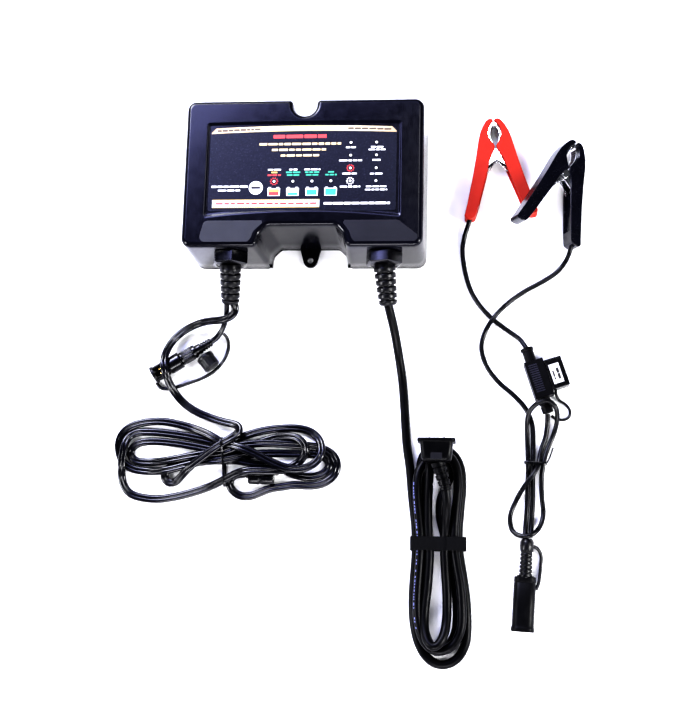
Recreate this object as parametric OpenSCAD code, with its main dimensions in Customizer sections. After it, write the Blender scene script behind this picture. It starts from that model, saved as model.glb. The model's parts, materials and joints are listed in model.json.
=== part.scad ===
// Car battery charger with its mains lead, output lead, sensor lead and clamp lead.
// Millimetres. The case lies on its back: X to the right, Y away from the cords, Z up
// out of the face plate. The origin is the middle of the case's back, on the surface.

/* [Case] */
// Width of the case
case_w = 206; // [202:1:210]
// Depth of the case, cord side to hanging-notch side
case_d = 132; // [132:1:136]
// Height of the case off its back
case_h = 70; // [70:0.5:72]
// Wall thickness of the covers
wall = 2.6; // [2.2:0.1:3]
// Corner radius of the case seen from the front
corner_r = 8; // [6:0.5:10]
// Radius of the hanging notch
notch_r = 10.4; // [9:0.1:11]

/* [Mounting ear] */
// Radius of the screw hole in the ear
ear_hole_r = 2.75; // [2:0.05:3.2]
// Thickness of the ear and of the rear cover
ear_t = 3; // [2.8:0.1:3]

/* [Test button] */
// Radius of the button
button_r = 6.1; // [5:0.1:6.3]

/* [Cords] */
// Diameter of the mains lead
mains_d = 7.4; // [7:0.1:7.6]
// Width of the output lead
output_d = 5.4; // [5:0.1:5.6]
// Diameter of the clamp lead's wires
wire_d = 4.1; // [3.6:0.1:4.2]

/* [Clamps] */
// Thickness of a clamp's grips
clamp_t = 15; // [14.4:0.1:15]
// Radius of a clamp's pivot pin
pivot_r = 2.5; // [2:0.1:2.6]

/* [Hidden] */
$fn = 48;

gloss = [0.07, 0.07, 0.10];
rubber = [0.06, 0.06, 0.07];
split_z = 3.2;                 // where the two covers meet
relief_x = [-63.5, 69.5];      // the two cord exits
relief_z = 48;
btn = [-39.9, -14.1];
post = [[-68, -34], [68, -34], [-68, 44], [68, 44]];      // circuit board posts
ipost = [[-55, 20], [-55, -24], [72, 30], [72, -18]];     // indicator board posts
screw = [[-92, -53], [92, -53], [-92, 53], [92, 53]];     // case screws
led = [for (y = [26, 14.5, 3, -8.5]) [40.8, y], for (y = [26, 14.5, 3, -8.5]) [62.8, y],
  for (x = [-24.4, -8.2, 8.2, 24.4]) [x, -8.3]];

// ------------------------------------------------------------------ helpers
function cross3(a, b) = [a[1]*b[2]-a[2]*b[1], a[2]*b[0]-a[0]*b[2], a[0]*b[1]-a[1]*b[0]];
function unit(v) = v / max(norm(v), 1e-9);
function tangent(p, i) = unit(p[min(i+1, len(p)-1)] - p[max(i-1, 0)]);
// One ring of a tube: sides points about p[i], square to the route there
function ring(p, i, r, n) = let (t = tangent(p, i), s = unit(cross3(t, [0, 0, 1])), u = cross3(s, t))
  [for (k = [0:n-1]) let (a = 360*(k+0.5)/n) p[i] + r*(cos(a)*s + sin(a)*u)];
// A closed tube swept along the route's own points
module tube(p, d, n = 8) {
  m = len(p);
  polyhedron(
    points = [for (i = [0:m-1]) each ring(p, i, d/2/cos(180/n)*0.985, n)],
    faces = concat(
      [[for (k = [n-1:-1:0]) k]],
      [for (i = [0:m-2], k = [0:n-1]) let (a = i*n+k, b = i*n+(k+1)%n) each [[a, b, b+n], [a, b+n, a+n]]],
      [[for (k = [0:n-1]) (m-1)*n+k]]));
}
// Moves a +Z shape onto a point, so that its Z looks along v
module aim(at, v) {
  translate(at) rotate([0, acos(v[2]/norm(v)), atan2(v[1], v[0])]) children();
}

// ------------------------------------------------------------------ routes
// Leads as laid out on the table: the point where each leaves its boot, then along the surface
output_route = [[-62.2, -106, 31.3], [-60.6, -110.2, 29.6], [-62.5, -114.8, 28], [-69.2, -118.5, 25.6],
  [-78.3, -118.9, 21], [-88.1, -118.2, 14.4], [-96.9, -119.1, 9.5], [-106, -122.2, 6.6], [-114, -127.2, 6],
  [-120.4, -134.6, 7.4], [-124, -143, 11], [-125.2, -151.5, 15.6], [-124.4, -159.4, 18], [-122.4, -167.4, 16.4],
  [-118.8, -177, 8.6], [-111, -187.6, 3], [-98.5, -196.5, 3], [-84, -202.5, 3], [-70, -206.5, 5]];
tail_route = [[-16, -264.4, 3], [-23.5, -264.2, 3], [-31, -265.4, 3], [-38, -268.2, 3], [-45, -270.3, 3], [-53, -271, 3],
  [-61, -267, 3], [-65, -259.5, 3], [-61.5, -253, 3.4], [-53, -251.6, 4.6]];
pigtail_route = [[-68.4, -106, 31.3], [-70, -113.5, 22], [-72.3, -119, 16],
  [-75.8, -125.3, 11], [-80.6, -131.4, 8.4], [-85.3, -135.3, 7.7]];
cap_strap_route = [[-75, -127.6, 6.8], [-72, -131.6, 3.4], [-71, -139, 1.8], [-73, -147, 1.8],
  [-76.5, -154.5, 4], [-82.5, -161, 4], [-91.4, -166, 1.8], [-102.5, -170.5, 1.8],
  [-114, -174.5, 1.8], [-124, -177, 1.8], [-131, -175.6, 1.8], [-134.5, -171.5, 1.9]];
mains_route = [[72.8, -108.5, 35], [75.5, -119, 29.5], [77.8, -129, 22.5], [79.8, -140, 14.5],
  [81.8, -152, 8], [84, -167, 4.6], [86, -187, 4], [87.5, -208, 4], [89, -226, 4],
  [91.4, -241, 4.4]];
red_route = [[142.3, -21.4, 7.5], [141.2, -26.4, 7], [138.6, -33.6, 4.6], [136.6, -41.6, 2.4], [135.6, -50, 2.1],
  [137.6, -68, 2.1], [143, -87, 2.1], [152, -102, 2.1], [164, -114.5, 2.1],
  [176.5, -124, 2.1], [186, -131.5, 3.6], [191, -139.4, 6]];
negative_route = [[230.4, -49, 9.2], [228.8, -54.6, 8], [225.6, -61.6, 4.6], [218.6, -70.2, 2.1],
  [206, -79, 2.1], [190, -88, 2.1], [176, -98.5, 3.4], [164, -111.5, 6.4], [156, -124, 3.4],
  [152.5, -138, 2.1], [156.6, -154, 2.1], [167, -168.5, 2.1], [180.5, -180.5, 2.1],
  [190.5, -192, 2.1], [196, -206, 2.1], [196.8, -222, 2.2], [196.4, -239, 3.4],
  [196.2, -254, 2.1], [196, -272, 2.1], [195, -290, 2.1], [194, -301.5, 4]];
positive_route = [[208.9, -197.3, 6], [208.8, -205, 3.4], [207.3, -216, 2.1], [203.3, -228, 2.2],
  [201.1, -239, 3.8], [198.1, -246.2, 7.4], [193, -253.6, 7.4], [187, -262, 5],
  [181.6, -272, 2.1], [177, -285, 2.1], [179, -296.6, 3.4], [185.9, -300.8, 7.6],
  [193.9, -300.1, 9], [201, -294.1, 5.4], [204.8, -283, 2.1], [203.8, -268, 2.1],
  [203.6, -252, 2.1], [205.3, -239, 3.4], [208.2, -228, 2.3], [213.6, -215.5, 2.2],
  [216.9, -202.2, 6.4], [215.3, -192.4, 13.4], [208.8, -187.1, 15.6], [200.7, -188.9, 15.4],
  [193.8, -195.1, 10.6], [191.9, -200.5, 7.4], [191.5, -206.2, 4.2], [191.8, -222, 2.2],
  [192.2, -239, 3.4], [191.9, -256, 2.1], [191.2, -276, 2.1], [190, -292, 2.1],
  [189.4, -301.5, 4]];
fuse_strap_route = [[216.4, -180.2, 4], [219, -184.4, 2], [224.5, -188, 1.2], [228, -193, 1.2],
  [227.4, -198.6, 1.2], [222.5, -201.4, 1.2], [216, -200.4, 1.2], [212.4, -197.8, 1.8]];
lead_strap_route = [[196.6, -309, 4.4], [200.4, -311.5, 3], [202.9, -317, 1.6], [202.4, -325, 1.6],
  [201.6, -333, 2.2], [200.2, -340.5, 3.6]];

// ------------------------------------------------------------------ case
module rrect(w, d, r) {
  square([w-2*r, d], center = true);
  square([w, d-2*r], center = true);
  for (x = [-1, 1], y = [-1, 1]) translate([x*(w/2-r), y*(d/2-r)]) circle(r = r);
}
// Case seen from the front with its hanging notch, drawn i inside the outer faces
module plan(i = 0) {
  difference() {
    rrect(case_w-2*i, case_d-2*i, corner_r-i*0.8);
    translate([0, case_d/2-4.2]) circle(r = notch_r+i);
    translate([-notch_r-i, case_d/2-4.2]) square([2*(notch_r+i), 20]);
  }
}
// The bay between the two legs, wider at the face than at the back
module bay(i = 0) {
  hull() {
    translate([0, 0, -1]) linear_extrude(0.1)
      polygon([[-34-i, -90], [-33.6-i, -60], [-32-i, -55+i*0.4], [-26-i*0.5, -49.5+i], [26+i*0.5, -49.5+i], [32+i, -55+i*0.4], [33.6+i, -60], [34+i, -90]]);
    translate([0, 0, case_h+0.9]) linear_extrude(0.1)
      polygon([[-39-i, -90], [-38-i, -60], [-34.5-i, -53+i*0.4], [-29.5-i*0.5, -47.6+i], [29.5+i*0.5, -47.6+i], [34.5+i, -53+i*0.4], [38+i, -60], [39+i, -90]]);
  }
}
module front_cover() color(gloss) difference() {
  union() {
    difference() {
      union() {
        translate([0, 0, split_z]) linear_extrude(case_h-4-split_z) plan(0);
        translate([0, 0, case_h-4]) linear_extrude(2.4) plan(0.7);
        translate([0, 0, case_h-1.6]) linear_extrude(1.6) plan(2);
      }
      bay(0);
      difference() {
        translate([0, 0, split_z-1]) linear_extrude(case_h-wall-split_z+1) plan(wall);
        bay(wall);
      }
    }
    // posts for the case screws and for the indicator board
    for (p = screw) translate([p[0], p[1], 16]) cylinder(r = 4, h = case_h-17.5);
    for (p = ipost) translate([p[0], p[1], 61.7]) cylinder(r = 3, h = case_h-63);
  }
  // label pocket
  translate([-84.5, -37, case_h-0.8]) cube([169, 82, 2]);
  // pilots, light holes, button hole and cord holes
  for (p = screw) translate([p[0], p[1], 15]) cylinder(r = 1.5, h = 12);
  for (p = ipost) translate([p[0], p[1], 61]) cylinder(r = 1, h = 5);
  for (p = led) translate([p[0], p[1], 60]) cylinder(r = 1.75, h = 12);
  translate([btn[0], btn[1], 60]) cylinder(r = button_r+0.35, h = 12);
  for (x = relief_x) translate([x, -case_d/2-2, relief_z]) rotate([-90, 0, 0]) cylinder(r = 9, h = 8);
}
module rear_cover() color([0.05, 0.05, 0.07]) difference() {
  union() {
    difference() {
      linear_extrude(ear_t) plan(0);
      bay(0);
    }
    // locating rim inside the front cover
    difference() {
      translate([0, 0, ear_t-0.5]) linear_extrude(6) plan(wall+0.3);
      translate([0, 0, 0]) linear_extrude(20) plan(wall+2.1);
      bay(wall+0.3);
    }
    for (p = screw) translate([p[0], p[1], 1]) cylinder(r = 4.6, h = 12);
    for (p = post) translate([p[0], p[1], 1]) cylinder(r = 3.6, h = 11);
    // mounting ear
    difference() {
      union() {
        translate([0, -case_d/2+6.4, 0]) cylinder(r = 6.3, h = ear_t);
        linear_extrude(ear_t) polygon([[-9.2, -48], [-8.8, -51], [-6.2, -61], [6.2, -61], [8.8, -51], [9.2, -48]]);
      }
    }
  }
  translate([0, -case_d/2+6.4, -1]) cylinder(r = ear_hole_r, h = 8);
  for (p = screw) {
    translate([p[0], p[1], -1]) cylinder(r = 1.8, h = 20);
    translate([p[0], p[1], -1]) cylinder(r = 3.6, h = 3);
  }
  for (p = post) translate([p[0], p[1], 3.5]) cylinder(r = 1.2, h = 20);
}
module face_label() color([0.12, 0.13, 0.26]) difference() {
  translate([0, 0, case_h-0.8]) linear_extrude(0.35) union() {
    translate([-81, -34.5]) square([161, 74.5]);
    difference() {
      translate([-0.5, 41.9-1715]) circle(r = 1715, $fn = 200);
      translate([-2000, -4000]) square([4000, 4040]);
      translate([80, 0]) square([2000, 100]);
      translate([-2081, 0]) square([2000, 100]);
    }
  }
  for (p = led) translate([p[0], p[1], 60]) cylinder(r = 1.7, h = 12);
  translate([btn[0], btn[1], 60]) cylinder(r = button_r+0.35, h = 12);
}
module side_pads() color([0.33, 0.34, 0.38]) translate([0, 0, case_h]) linear_extrude(0.25) {
  polygon([[-83, -43.2], [-34, -43.2], [-33, -45], [-41, -53], [-43, -60], [-45.5, -62], [-84.5, -62], [-87, -58.5], [-85, -48]]);
  polygon([[37, -43.2], [82, -43.2], [98.5, -56], [98.5, -60.5], [96, -62], [45.5, -62], [43, -60], [41, -53], [36, -46]]);
}
module test_button() color([0.93, 0.93, 0.93]) translate([btn[0], btn[1], 0]) {
  translate([0, 0, 66.9]) cylinder(r = button_r, h = case_h-66.9+0.2);
  translate([0, 0, 65.9]) cylinder(r = 8, h = 1.1);
}
module button_switch() {
  color([0.15, 0.15, 0.16]) translate([btn[0]-3, btn[1]-3, 61.65]) cube([6, 6, 2]);
  color([0.6, 0.6, 0.62]) translate([btn[0], btn[1], 63.6]) cylinder(r = 1.7, h = 1.4);
}
module status_leds() color([0.95, 0.95, 0.92]) for (p = led) translate([p[0], p[1], 0]) {
  translate([0, 0, 61.65]) cylinder(r = 1.5, h = 6.6);
  translate([0, 0, 68.25]) sphere(r = 1.5, $fn = 24);
}
module indicator_board() color([0.1, 0.35, 0.2]) difference() {
  translate([-60, -29, 60]) cube([137, 63, 1.6]);
  for (p = ipost) translate([p[0], p[1], 55]) cylinder(r = 1.3, h = 12);
}

// ------------------------------------------------------------------ inside
module circuit_board() color([0.08, 0.32, 0.18]) difference() {
  translate([-76, -42, 12.05]) cube([152, 90.2, 1.6]);
  for (p = post) translate([p[0], p[1], 5]) cylinder(r = 1.6, h = 12);
}
module transformer_core() color([0.25, 0.25, 0.27]) translate([22, 6, 13.7]) difference() {
  translate([-21, -8, 0]) cube([42, 16, 35]);
  for (x = [-14, 5]) translate([x, -10, 6]) cube([9, 20, 23]);
}
module transformer_winding() color([0.75, 0.62, 0.2]) translate([22, 6, 13.7]) difference() {
  translate([-13.6, -14, 6.3]) cube([27.2, 28, 22.4]);
  translate([-5.2, -15, 0]) cube([10.4, 30, 40]);
  translate([-5.2, -8.2, 0]) cube([10.4, 16.4, 40]);
  translate([-30, -30, 28.75]) cube(60);
}
module heatsink() color([0.72, 0.73, 0.75]) translate([-30, 38, 13.7]) {
  cube([70, 3, 34]);
  for (x = [0:7.3:66]) translate([x, 2.9, 0]) cube([2, 7, 34]);
}
module power_transistors() color([0.1, 0.1, 0.1]) for (x = [-20, 0, 20]) translate([x, 33.3, 26]) {
  cube([10, 4.6, 15]);
  for (k = [1.7, 4.4, 7.1]) translate([k, 1.6, -10.5]) cube([1.1, 0.7, 10.6]);
}
module filter_capacitors() color([0.1, 0.12, 0.4]) for (p = [[-62, -20], [-43, -20], [-62, 2]]) translate([p[0], p[1], 13.7]) difference() {
  cylinder(r = 8.2, h = 32);
  translate([0, 0, 31]) difference() { cylinder(r = 7.2, h = 2); cylinder(r = 5, h = 2); }
}
module filter_choke() color([0.7, 0.4, 0.15]) translate([60, -18, 19.8]) rotate_extrude() translate([8.5, 0]) circle(r = 4.6);
module mains_fuse() {
  color([0.8, 0.82, 0.82]) translate([-16, -30, 19.5]) rotate([0, 90, 0]) cylinder(r = 2.6, h = 20);
  color([0.75, 0.7, 0.4]) for (x = [-16, 0]) translate([x, -34, 13.7]) difference() {
    cube([4, 8, 8.6]);
    translate([-1, 4, 5.8]) rotate([0, 90, 0]) cylinder(r = 2.61, h = 8);
    translate([-1, 2, 5.8]) cube([8, 4, 9]);
  }
}
module case_screws() color([0.6, 0.6, 0.62]) for (p = screw) translate([p[0], p[1], 0]) difference() {
  union() { translate([0, 0, 0.2]) cylinder(r = 3.3, h = 1.75); translate([0, 0, 1.9]) cylinder(r = 1.45, h = 22); }
  for (a = [0, 90]) rotate([0, 0, a]) translate([-1.8, -0.4, 0]) cube([3.6, 0.8, 1.1]);
}
module board_screws() color([0.6, 0.6, 0.62]) {
  for (p = post) translate([p[0], p[1], 0]) { translate([0, 0, 5]) cylinder(r = 1.15, h = 9); translate([0, 0, 13.7]) cylinder(r = 2.8, h = 1.6); }
  for (p = ipost) translate([p[0], p[1], 0]) { translate([0, 0, 59.5]) cylinder(r = 0.95, h = 5); translate([0, 0, 58.4]) cylinder(r = 2.4, h = 1.55); }
}

// ------------------------------------------------------------------ cord exits
module gland_nuts() color([0.09, 0.09, 0.10]) for (x = relief_x) translate([x, -case_d/2-0.05, relief_z])
  rotate([90, 0, 0]) difference() {
    rotate([0, 0, 14]) cylinder(r = 16.2, h = 10.6, $fn = 6);
    translate([0, 0, -1]) cylinder(r = 9.1, h = 20);
  }
// Bushing through the wall, with a ribbed boot that droops towards the table
module relief(x, tip) {
  face = [x, -case_d/2-9.2, relief_z-1];
  v = tip - face;
  L = norm(v);
  translate([x, -case_d/2+2.7, relief_z]) rotate([90, 0, 0]) cylinder(r = 8.9, h = 13.2);
  translate([x, -case_d/2+6.2, relief_z]) rotate([90, 0, 0]) cylinder(r = 11.5, h = 3.4);
  aim(face, v) rotate_extrude() polygon([[0, -1], [8.4, -1], [9, 2.4], [9.2, 5], [9.2, 6.8], [7.4, 7.4], [7.4, 8.8],
    [9, 9.2], [9, 11.6], [7.2, 12], [7.2, 13.4], [8.7, 13.8], [8.7, 17.4], [6.8, 18], [6.8, 19.4], [8.4, 19.9],
    [8.2, 24.4], [6.6, 25], [6.6, 26.4], [8, 27], [7.8, L-1.4], [6.9, L], [0, L]]);
}
module output_strain_relief() color(rubber) relief(relief_x[0], [-65.2, -106, 31.3]);
module input_strain_relief() color(rubber) relief(relief_x[1], [72.8, -108.5, 35]);

// ------------------------------------------------------------------ output lead
module output_cord() color(rubber) tube(output_route, output_d);
module output_tail() color(rubber) tube(tail_route, output_d);
// The bundled length of the output lead, as one closed outer shape
module output_bundle() color(rubber) difference() {
  linear_extrude(14.2) polygon([[-164.5, -226], [-160, -214.5], [-149, -208], [-131, -204.5], [-110, -207], [-90, -213.5], [-75, -216],
    [-68, -208.6], [-56, -207], [-36, -212], [-14, -208.5], [4, -210], [15, -217.5], [22, -230], [31, -236],
    [33.5, -245], [30, -255], [20, -262], [5, -264.5], [-15, -261.5], [-30.6, -258.4], [-31.5, -248.6], [-55, -246.4],
    [-68, -248], [-68, -263.5], [-87, -267.5], [-107, -273], [-124, -277], [-139, -277], [-151, -272], [-160, -262],
    [-161.5, -251], [-158, -244], [-163, -236]]);
  translate([-72.5, -300, -1]) cube([3.8, 120, 2]);
  // room for the connector that lies under the last turn
  translate([-53.4, -262.5, -1]) cube([5.6, 17, 11.8]);
  translate([-48, -262.5, -1]) cube([30.6, 17, 11.8]);
}
module output_tie() color([0.1, 0.1, 0.11]) translate([-70.6, -233, 0]) difference() {
  translate([-1.6, -31.9, 0.05]) cube([3.2, 49.9, 15.2]);
  translate([-3, -31, 0.95]) cube([6, 48.1, 13.3]);
}
module output_connector() color(rubber) {
  translate([-47.6, -255.6, 0]) difference() {
    union() {
      translate([0, 0, 0]) cube([22, 4.4, 10.4]);
      translate([0, 0, 5.2]) rotate([0, 90, 0]) cylinder(r = 5.2, h = 22);
      translate([0, 4.4, 5.2]) rotate([0, 90, 0]) cylinder(r = 5.2, h = 15);
      translate([-5.4, 3, 5]) rotate([0, 90, 0]) cylinder(r = 4.1, h = 6);
    }
    translate([-30, -30, -60]) cube(60);
    translate([16, 0.8, 5.2]) rotate([0, 90, 0]) cylinder(r = 2.2, h = 9);
  }
}

// ------------------------------------------------------------------ sensor lead
pt = [-85.3, -135.3, 7.7];
pv = [-0.856, -0.517, 0];
module pigtail_cord() color(rubber) tube(pigtail_route, 5.2);
module pigtail_body() color(rubber) aim(pt, pv) difference() {
  rotate_extrude() polygon([[0, 0], [3.9, 0], [3.9, 2], [3.3, 2.5], [3.3, 3.3], [4.1, 3.8], [4.1, 5.6], [3.5, 6.1],
    [3.5, 6.9], [4.3, 7.4], [4.3, 9.2], [3.7, 9.7], [3.7, 10.5], [4.5, 11], [4.7, 15.4], [4.4, 15.4], [4.4, 31.4],
    [7.5, 31.4], [7.5, 44.6], [5.6, 44.6], [5.6, 47.6], [0, 47.6]]);
  for (y = [-2.4, 2.4]) translate([-1, y, 38]) cylinder(r = 0.85, h = 12);
}
module pigtail_ring() color([0.09, 0.09, 0.11]) aim(pt, pv) translate([0, 0, 15.7]) difference() {
  cylinder(r = 6.2, h = 15.4);
  translate([0, 0, -1]) cylinder(r = 4.46, h = 20);
}
module pigtail_sleeve() color([0.09, 0.09, 0.14]) aim(pt, pv) difference() {
  translate([0, 0, 44.8]) cylinder(r = 7.1, h = 14.6);
  translate([0, 0, 40]) cylinder(r = 5.8, h = 30);
  translate([-20, -4.6, 48.6]) cube([16, 9.2, 8.2]);
}
module pigtail_cap() color(rubber) aim([-83.4, -158.3, 7.7], [-0.62, 0.785, 0]) difference() {
  union() { cylinder(r = 7.4, h = 12.6); translate([0, 0, 9.6]) cylinder(r = 7.6, h = 3); }
  translate([0, 0, 2]) cylinder(r = 6.1, h = 20);
}
module pigtail_cap_strap() color(rubber) {
  tube(cap_strap_route, 2.9);
  aim(pt + 56.9*pv, pv) difference() { cylinder(r = 7.65, h = 2.6); translate([0, 0, -1]) cylinder(r = 7.12, h = 5); }
}
module connector_pins() color([0.85, 0.68, 0.3]) {
  aim(pt, pv) for (y = [-2.4, 2.4]) translate([-1, y, 38.2]) cylinder(r = 0.8, h = 14.8);
  translate([-25.6, -251.2, 5.2]) rotate([0, 90, 0]) cylinder(r = 1.7, h = 7.6);
  translate([-31.2, -254.8, 5.2]) rotate([0, 90, 0]) cylinder(r = 2.1, h = 5.4);
  aim([187.9, -354, 6], [-0.057, -0.998, 0]) for (x = [-3.4, 3.4]) translate([0, x, 0.3]) cylinder(r = 1.5, h = 11);
}

// ------------------------------------------------------------------ mains lead
module mains_cord() color(rubber) tube(mains_route, mains_d, 10);
// The folded hank of the mains lead, as one closed outer shape with round ends
module mains_hank() color(rubber) difference() {
  linear_extrude(15.8) polygon([[93.6, -245], [96, -233], [103, -225], [115, -221.5], [128, -224], [137, -232.5], [142, -246],
    [142, -262], [139.6, -284], [138.4, -302], [138.4, -316], [142, -332], [145.2, -354], [145.6, -380], [143, -394.6],
    [136, -405.6], [123.5, -411], [110, -407.4], [99, -394], [93.6, -378], [92, -357], [93.4, -330], [94.6, -316],
    [94.6, -302], [94.6, -284], [93.2, -262]]);
  translate([80, -315.1, -1]) cube([80, 12.6, 2.2]);
}
module hank_strap() color([0.05, 0.05, 0.05]) translate([92.9, -314.6, 0.05]) difference() {
  cube([47.2, 11.6, 17]);
  translate([1.4, -1, 1.1]) cube([44.4, 14, 14.7]);
}
module mains_plug() color(rubber) translate([115.2, -222.8, 28.2]) {
  translate([-16, -2.8, -12]) cube([32, 2.8, 24]);
  hull() {
    translate([-13.8, -3, -10.6]) cube([27.6, 0.3, 21.2]);
    translate([-12.2, -19, -8]) cube([24.4, 0.3, 16]);
  }
  translate([1.6, -19, -3]) rotate([90, 0, 14]) rotate_extrude() polygon([[0, -2], [6.6, -2], [6.2, 4], [5, 4.6], [5, 6], [5.9, 6.6],
    [5.7, 10.4], [4.7, 11], [4.7, 12.4], [5.4, 13], [5.2, 17], [4.4, 17.6], [4.4, 19], [4.9, 19.6], [4.6, 24], [0, 24]]);
}
module plug_blades() color([0.85, 0.85, 0.86]) translate([115.2, -222.8, 28.2]) {
  for (x = [-6.35, 6.35]) translate([x-0.75, 0, -6.4]) difference() { cube([1.5, 16, 6.4]); translate([-1, 13, 3.2]) rotate([0, 90, 0]) cylinder(r = 1.5, h = 4); }
  translate([0, 0, 8.6]) rotate([-90, 0, 0]) cylinder(r = 2.4, h = 18);
}

// ------------------------------------------------------------------ clamp lead
module red_wire() color(rubber) tube(red_route, wire_d);
module negative_wire() color(rubber) tube(negative_route, wire_d);
module positive_wire() color(rubber) tube(positive_route, wire_d);
module lead_tie() color([0.05, 0.05, 0.05]) {
  translate([188.9, -240.6, 0.1]) difference() { cube([19.2, 3.2, 6.8]); translate([1.1, -1, 1.1]) cube([17, 6, 4.6]); }
  translate([206.2, -238, 3]) rotate([0, 0, -62]) cube([2.2, 3.2, 3]);
}
// Fuse holder's frame: local X along the wire from its top flange, local Y towards the cap
module fuse_frame() translate([191.3, -140, 6.6]) rotate([0, 0, -72]) children();
module fuse_holder() color(rubber) fuse_frame() difference() {
  union() {
    rotate([0, 90, 0]) cylinder(r = 5.6, h = 2.4);
    translate([2.3, 0, 0]) rotate([0, 90, 0]) cylinder(r = 4.8, h = 11);
    translate([12.6, -6.8, -6.5]) cube([33, 16.4, 13]);
    translate([45, 0, 0]) rotate([0, 90, 0]) rotate_extrude() polygon([[0, 0], [5.4, 0], [5.2, 6], [4.2, 6.6], [4.2, 7.8], [4.9, 8.4], [4.7, 13.8], [0, 13.8]]);
    translate([18.2, 9.5, -4.2]) cube([21.6, 4, 8.4]);
  }
  for (x = [20.2, 32]) translate([x, 4.4, -0.5]) cube([6, 12, 1]);
}
module fuse_cap() color([0.07, 0.07, 0.07]) fuse_frame() difference() {
  translate([15.4, 9.8, -6.5]) cube([26.4, 15, 13]);
  translate([17.8, 9, -4.5]) cube([22.4, 13.6, 9]);
}
module blade_fuse() fuse_frame() {
  color([0.75, 0.2, 0.15, 0.8]) translate([19.4, 13.7, -2.6]) cube([19.2, 8.4, 5.2]);
  color([0.8, 0.8, 0.8]) for (x = [20.6, 32.4]) translate([x, 5, -0.35]) cube([5.2, 9, 0.7]);
}
module fuse_cap_strap() color(rubber) tube(fuse_strap_route, 2.4);
module fuse_label() color([0.96, 0.96, 0.95]) fuse_frame() translate([20.6, 12, 6.5]) cube([17.4, 9, 0.2]);

// Two-pin connector at the lead's end, with ribbed tail and a push-on cap
lt = [191.2, -302.6, 6];
lv = [-0.057, -0.998, 0];
module lead_connector() color(rubber) aim(lt, lv) {
  rotate_extrude() polygon([[0, 0.4], [4, 0.4], [5.6, 3], [5.9, 6.4], [5.6, 9.8], [4.4, 12.6], [5.2, 14], [5.2, 16], [4.2, 16.6],
    [4.2, 17.6], [5.4, 18.2], [5.4, 20.2], [4.4, 20.8], [4.4, 21.8], [5.6, 22.4], [5.6, 24.4], [4.6, 25], [4.6, 26],
    [5.8, 26.6], [5.8, 31.4], [0, 31.4]]);
  translate([-4, -7, 31]) cube([8, 14, 20.4]);
}
module lead_cap() color([0.06, 0.06, 0.06]) aim(lt, lv) difference() {
  union() {
    translate([0, 0, 32]) linear_extrude(42) { square([10.6, 9.4], center = true); for (y = [-4.7, 4.7]) translate([0, y]) scale([1, 0.85]) circle(r = 5.3); }
    translate([-5.8, -9.6, 73.8]) cube([11.6, 19.2, 3.2]);
  }
  translate([-4.2, -7.3, 31]) cube([8.4, 14.6, 36]);
}
module lead_cap_strap() color(rubber) tube(lead_strap_route, 2.9);

// ------------------------------------------------------------------ clamps
// A clamp's own frame: pivot on Z through the origin, jaws along +Y, s = 1 for the right half
grip_out = [[1.4, 32.8], [4.2, 32.9], [6.8, 31], [9.8, 26.6], [12.5, 21], [14.6, 14], [16.3, 6], [18.4, -4], [20.8, -14],
  [23.3, -24], [26, -34], [28.7, -44], [31, -51.6], [32.2, -55.4], [30.8, -57.6], [27, -58], [23.4, -57], [22, -54.6]];
grip_in = [[18.5, -45], [15.6, -36], [13, -28], [10.4, -20], [8, -12.5], [6.4, -6], [3.4, 0.6], [1.1, 4.5], [0.5, 7.5],
  [3.2, 11.6], [5.6, 16.6], [6, 20.6], [4.6, 25.6], [2, 29.6], [0.3, 31]];
chan = [[3.4, 31.6], [5.2, 30.4], [7.8, 25.8], [10.2, 20], [12.2, 13.4], [14, 5.4], [16, -4.6], [18.4, -14.6], [20.9, -24.6],
  [23.6, -34.6], [26.2, -44.4], [27.4, -48.6], [26, -49.6], [22.2, -48.6], [15.4, -44], [12.6, -36], [9.6, -27], [7.4, -20],
  [4.6, -12], [3.2, -6], [-1, 0.6], [-2, 7], [2, 12.4], [4.4, 17], [4.6, 20.6], [3.4, 25.6], [0.4, 30], [-1, 32.4]];
back_out = [[3, 31.2], [5, 30], [7.5, 25.4], [9.9, 19.7], [11.9, 13.2], [13.7, 5.2], [15.7, -4.8], [18.1, -14.8], [20.6, -24.8],
  [23.3, -34.8], [25.9, -44.4], [26.6, -47.2]];
back_in = [[24.3, -47.4], [23.6, -44.8], [21.1, -35.4], [18.4, -25.4], [15.9, -15.4], [13.5, -5.4], [11.5, 4.8], [9.7, 12.4],
  [7.8, 18.6], [5.6, 23.4], [3.4, 27.4], [0.3, 31.2]];
jaw_in = [[2, 10.4], [3.7, 14.6], [4.3, 18.6], [3.4, 23.6], [1.4, 27.8], [0.25, 30.2]];
module half_plate(s, pts, z0, h) translate([0, 0, z0]) linear_extrude(h) polygon([for (q = pts) [s*q[0], q[1]]]);
module grip(s) difference() {
  half_plate(s, concat(grip_out, grip_in), -clamp_t/2, clamp_t);
  half_plate(s, chan, -5.6, 11.2);
  translate([0, 0, -20]) cylinder(r = 3.4, h = 40);
}
// Folded steel half: a back strip with two ears on the pivot; o is the ears' outer distance from the middle
module lever(s, o) difference() {
  union() {
    half_plate(s, concat(back_out, back_in), -5.4, 10.8);
    for (z = [-o, o-1.2]) {
      translate([0, 0, z]) cylinder(r = 5, h = 1.2);
      half_plate(s, concat([[0, -4.6], [1, 5.6]], jaw_in, [[3.4, 30], [7.2, 25.2], [9.6, 19.4], [11.6, 13], [12.8, 3], [14, -7], [11, -12]]), z, 1.2);
    }
    half_plate(s, [[0.25, 30.6], [0.25, 27.4], [2.4, 26.6], [3.4, 29]], -5.4, 10.8);
  }
  translate([0, 0, -20]) cylinder(r = pivot_r+0.05, h = 40);
}
module red_frame() translate([165, 35.5, clamp_t/2+0.05]) rotate([0, 0, 4.5]) children();
module black_frame() translate([223.5, 13.4, 14.26]) rotate([0, 0, -19.5]) rotate([-6.5, 24, 0]) children();
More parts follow.
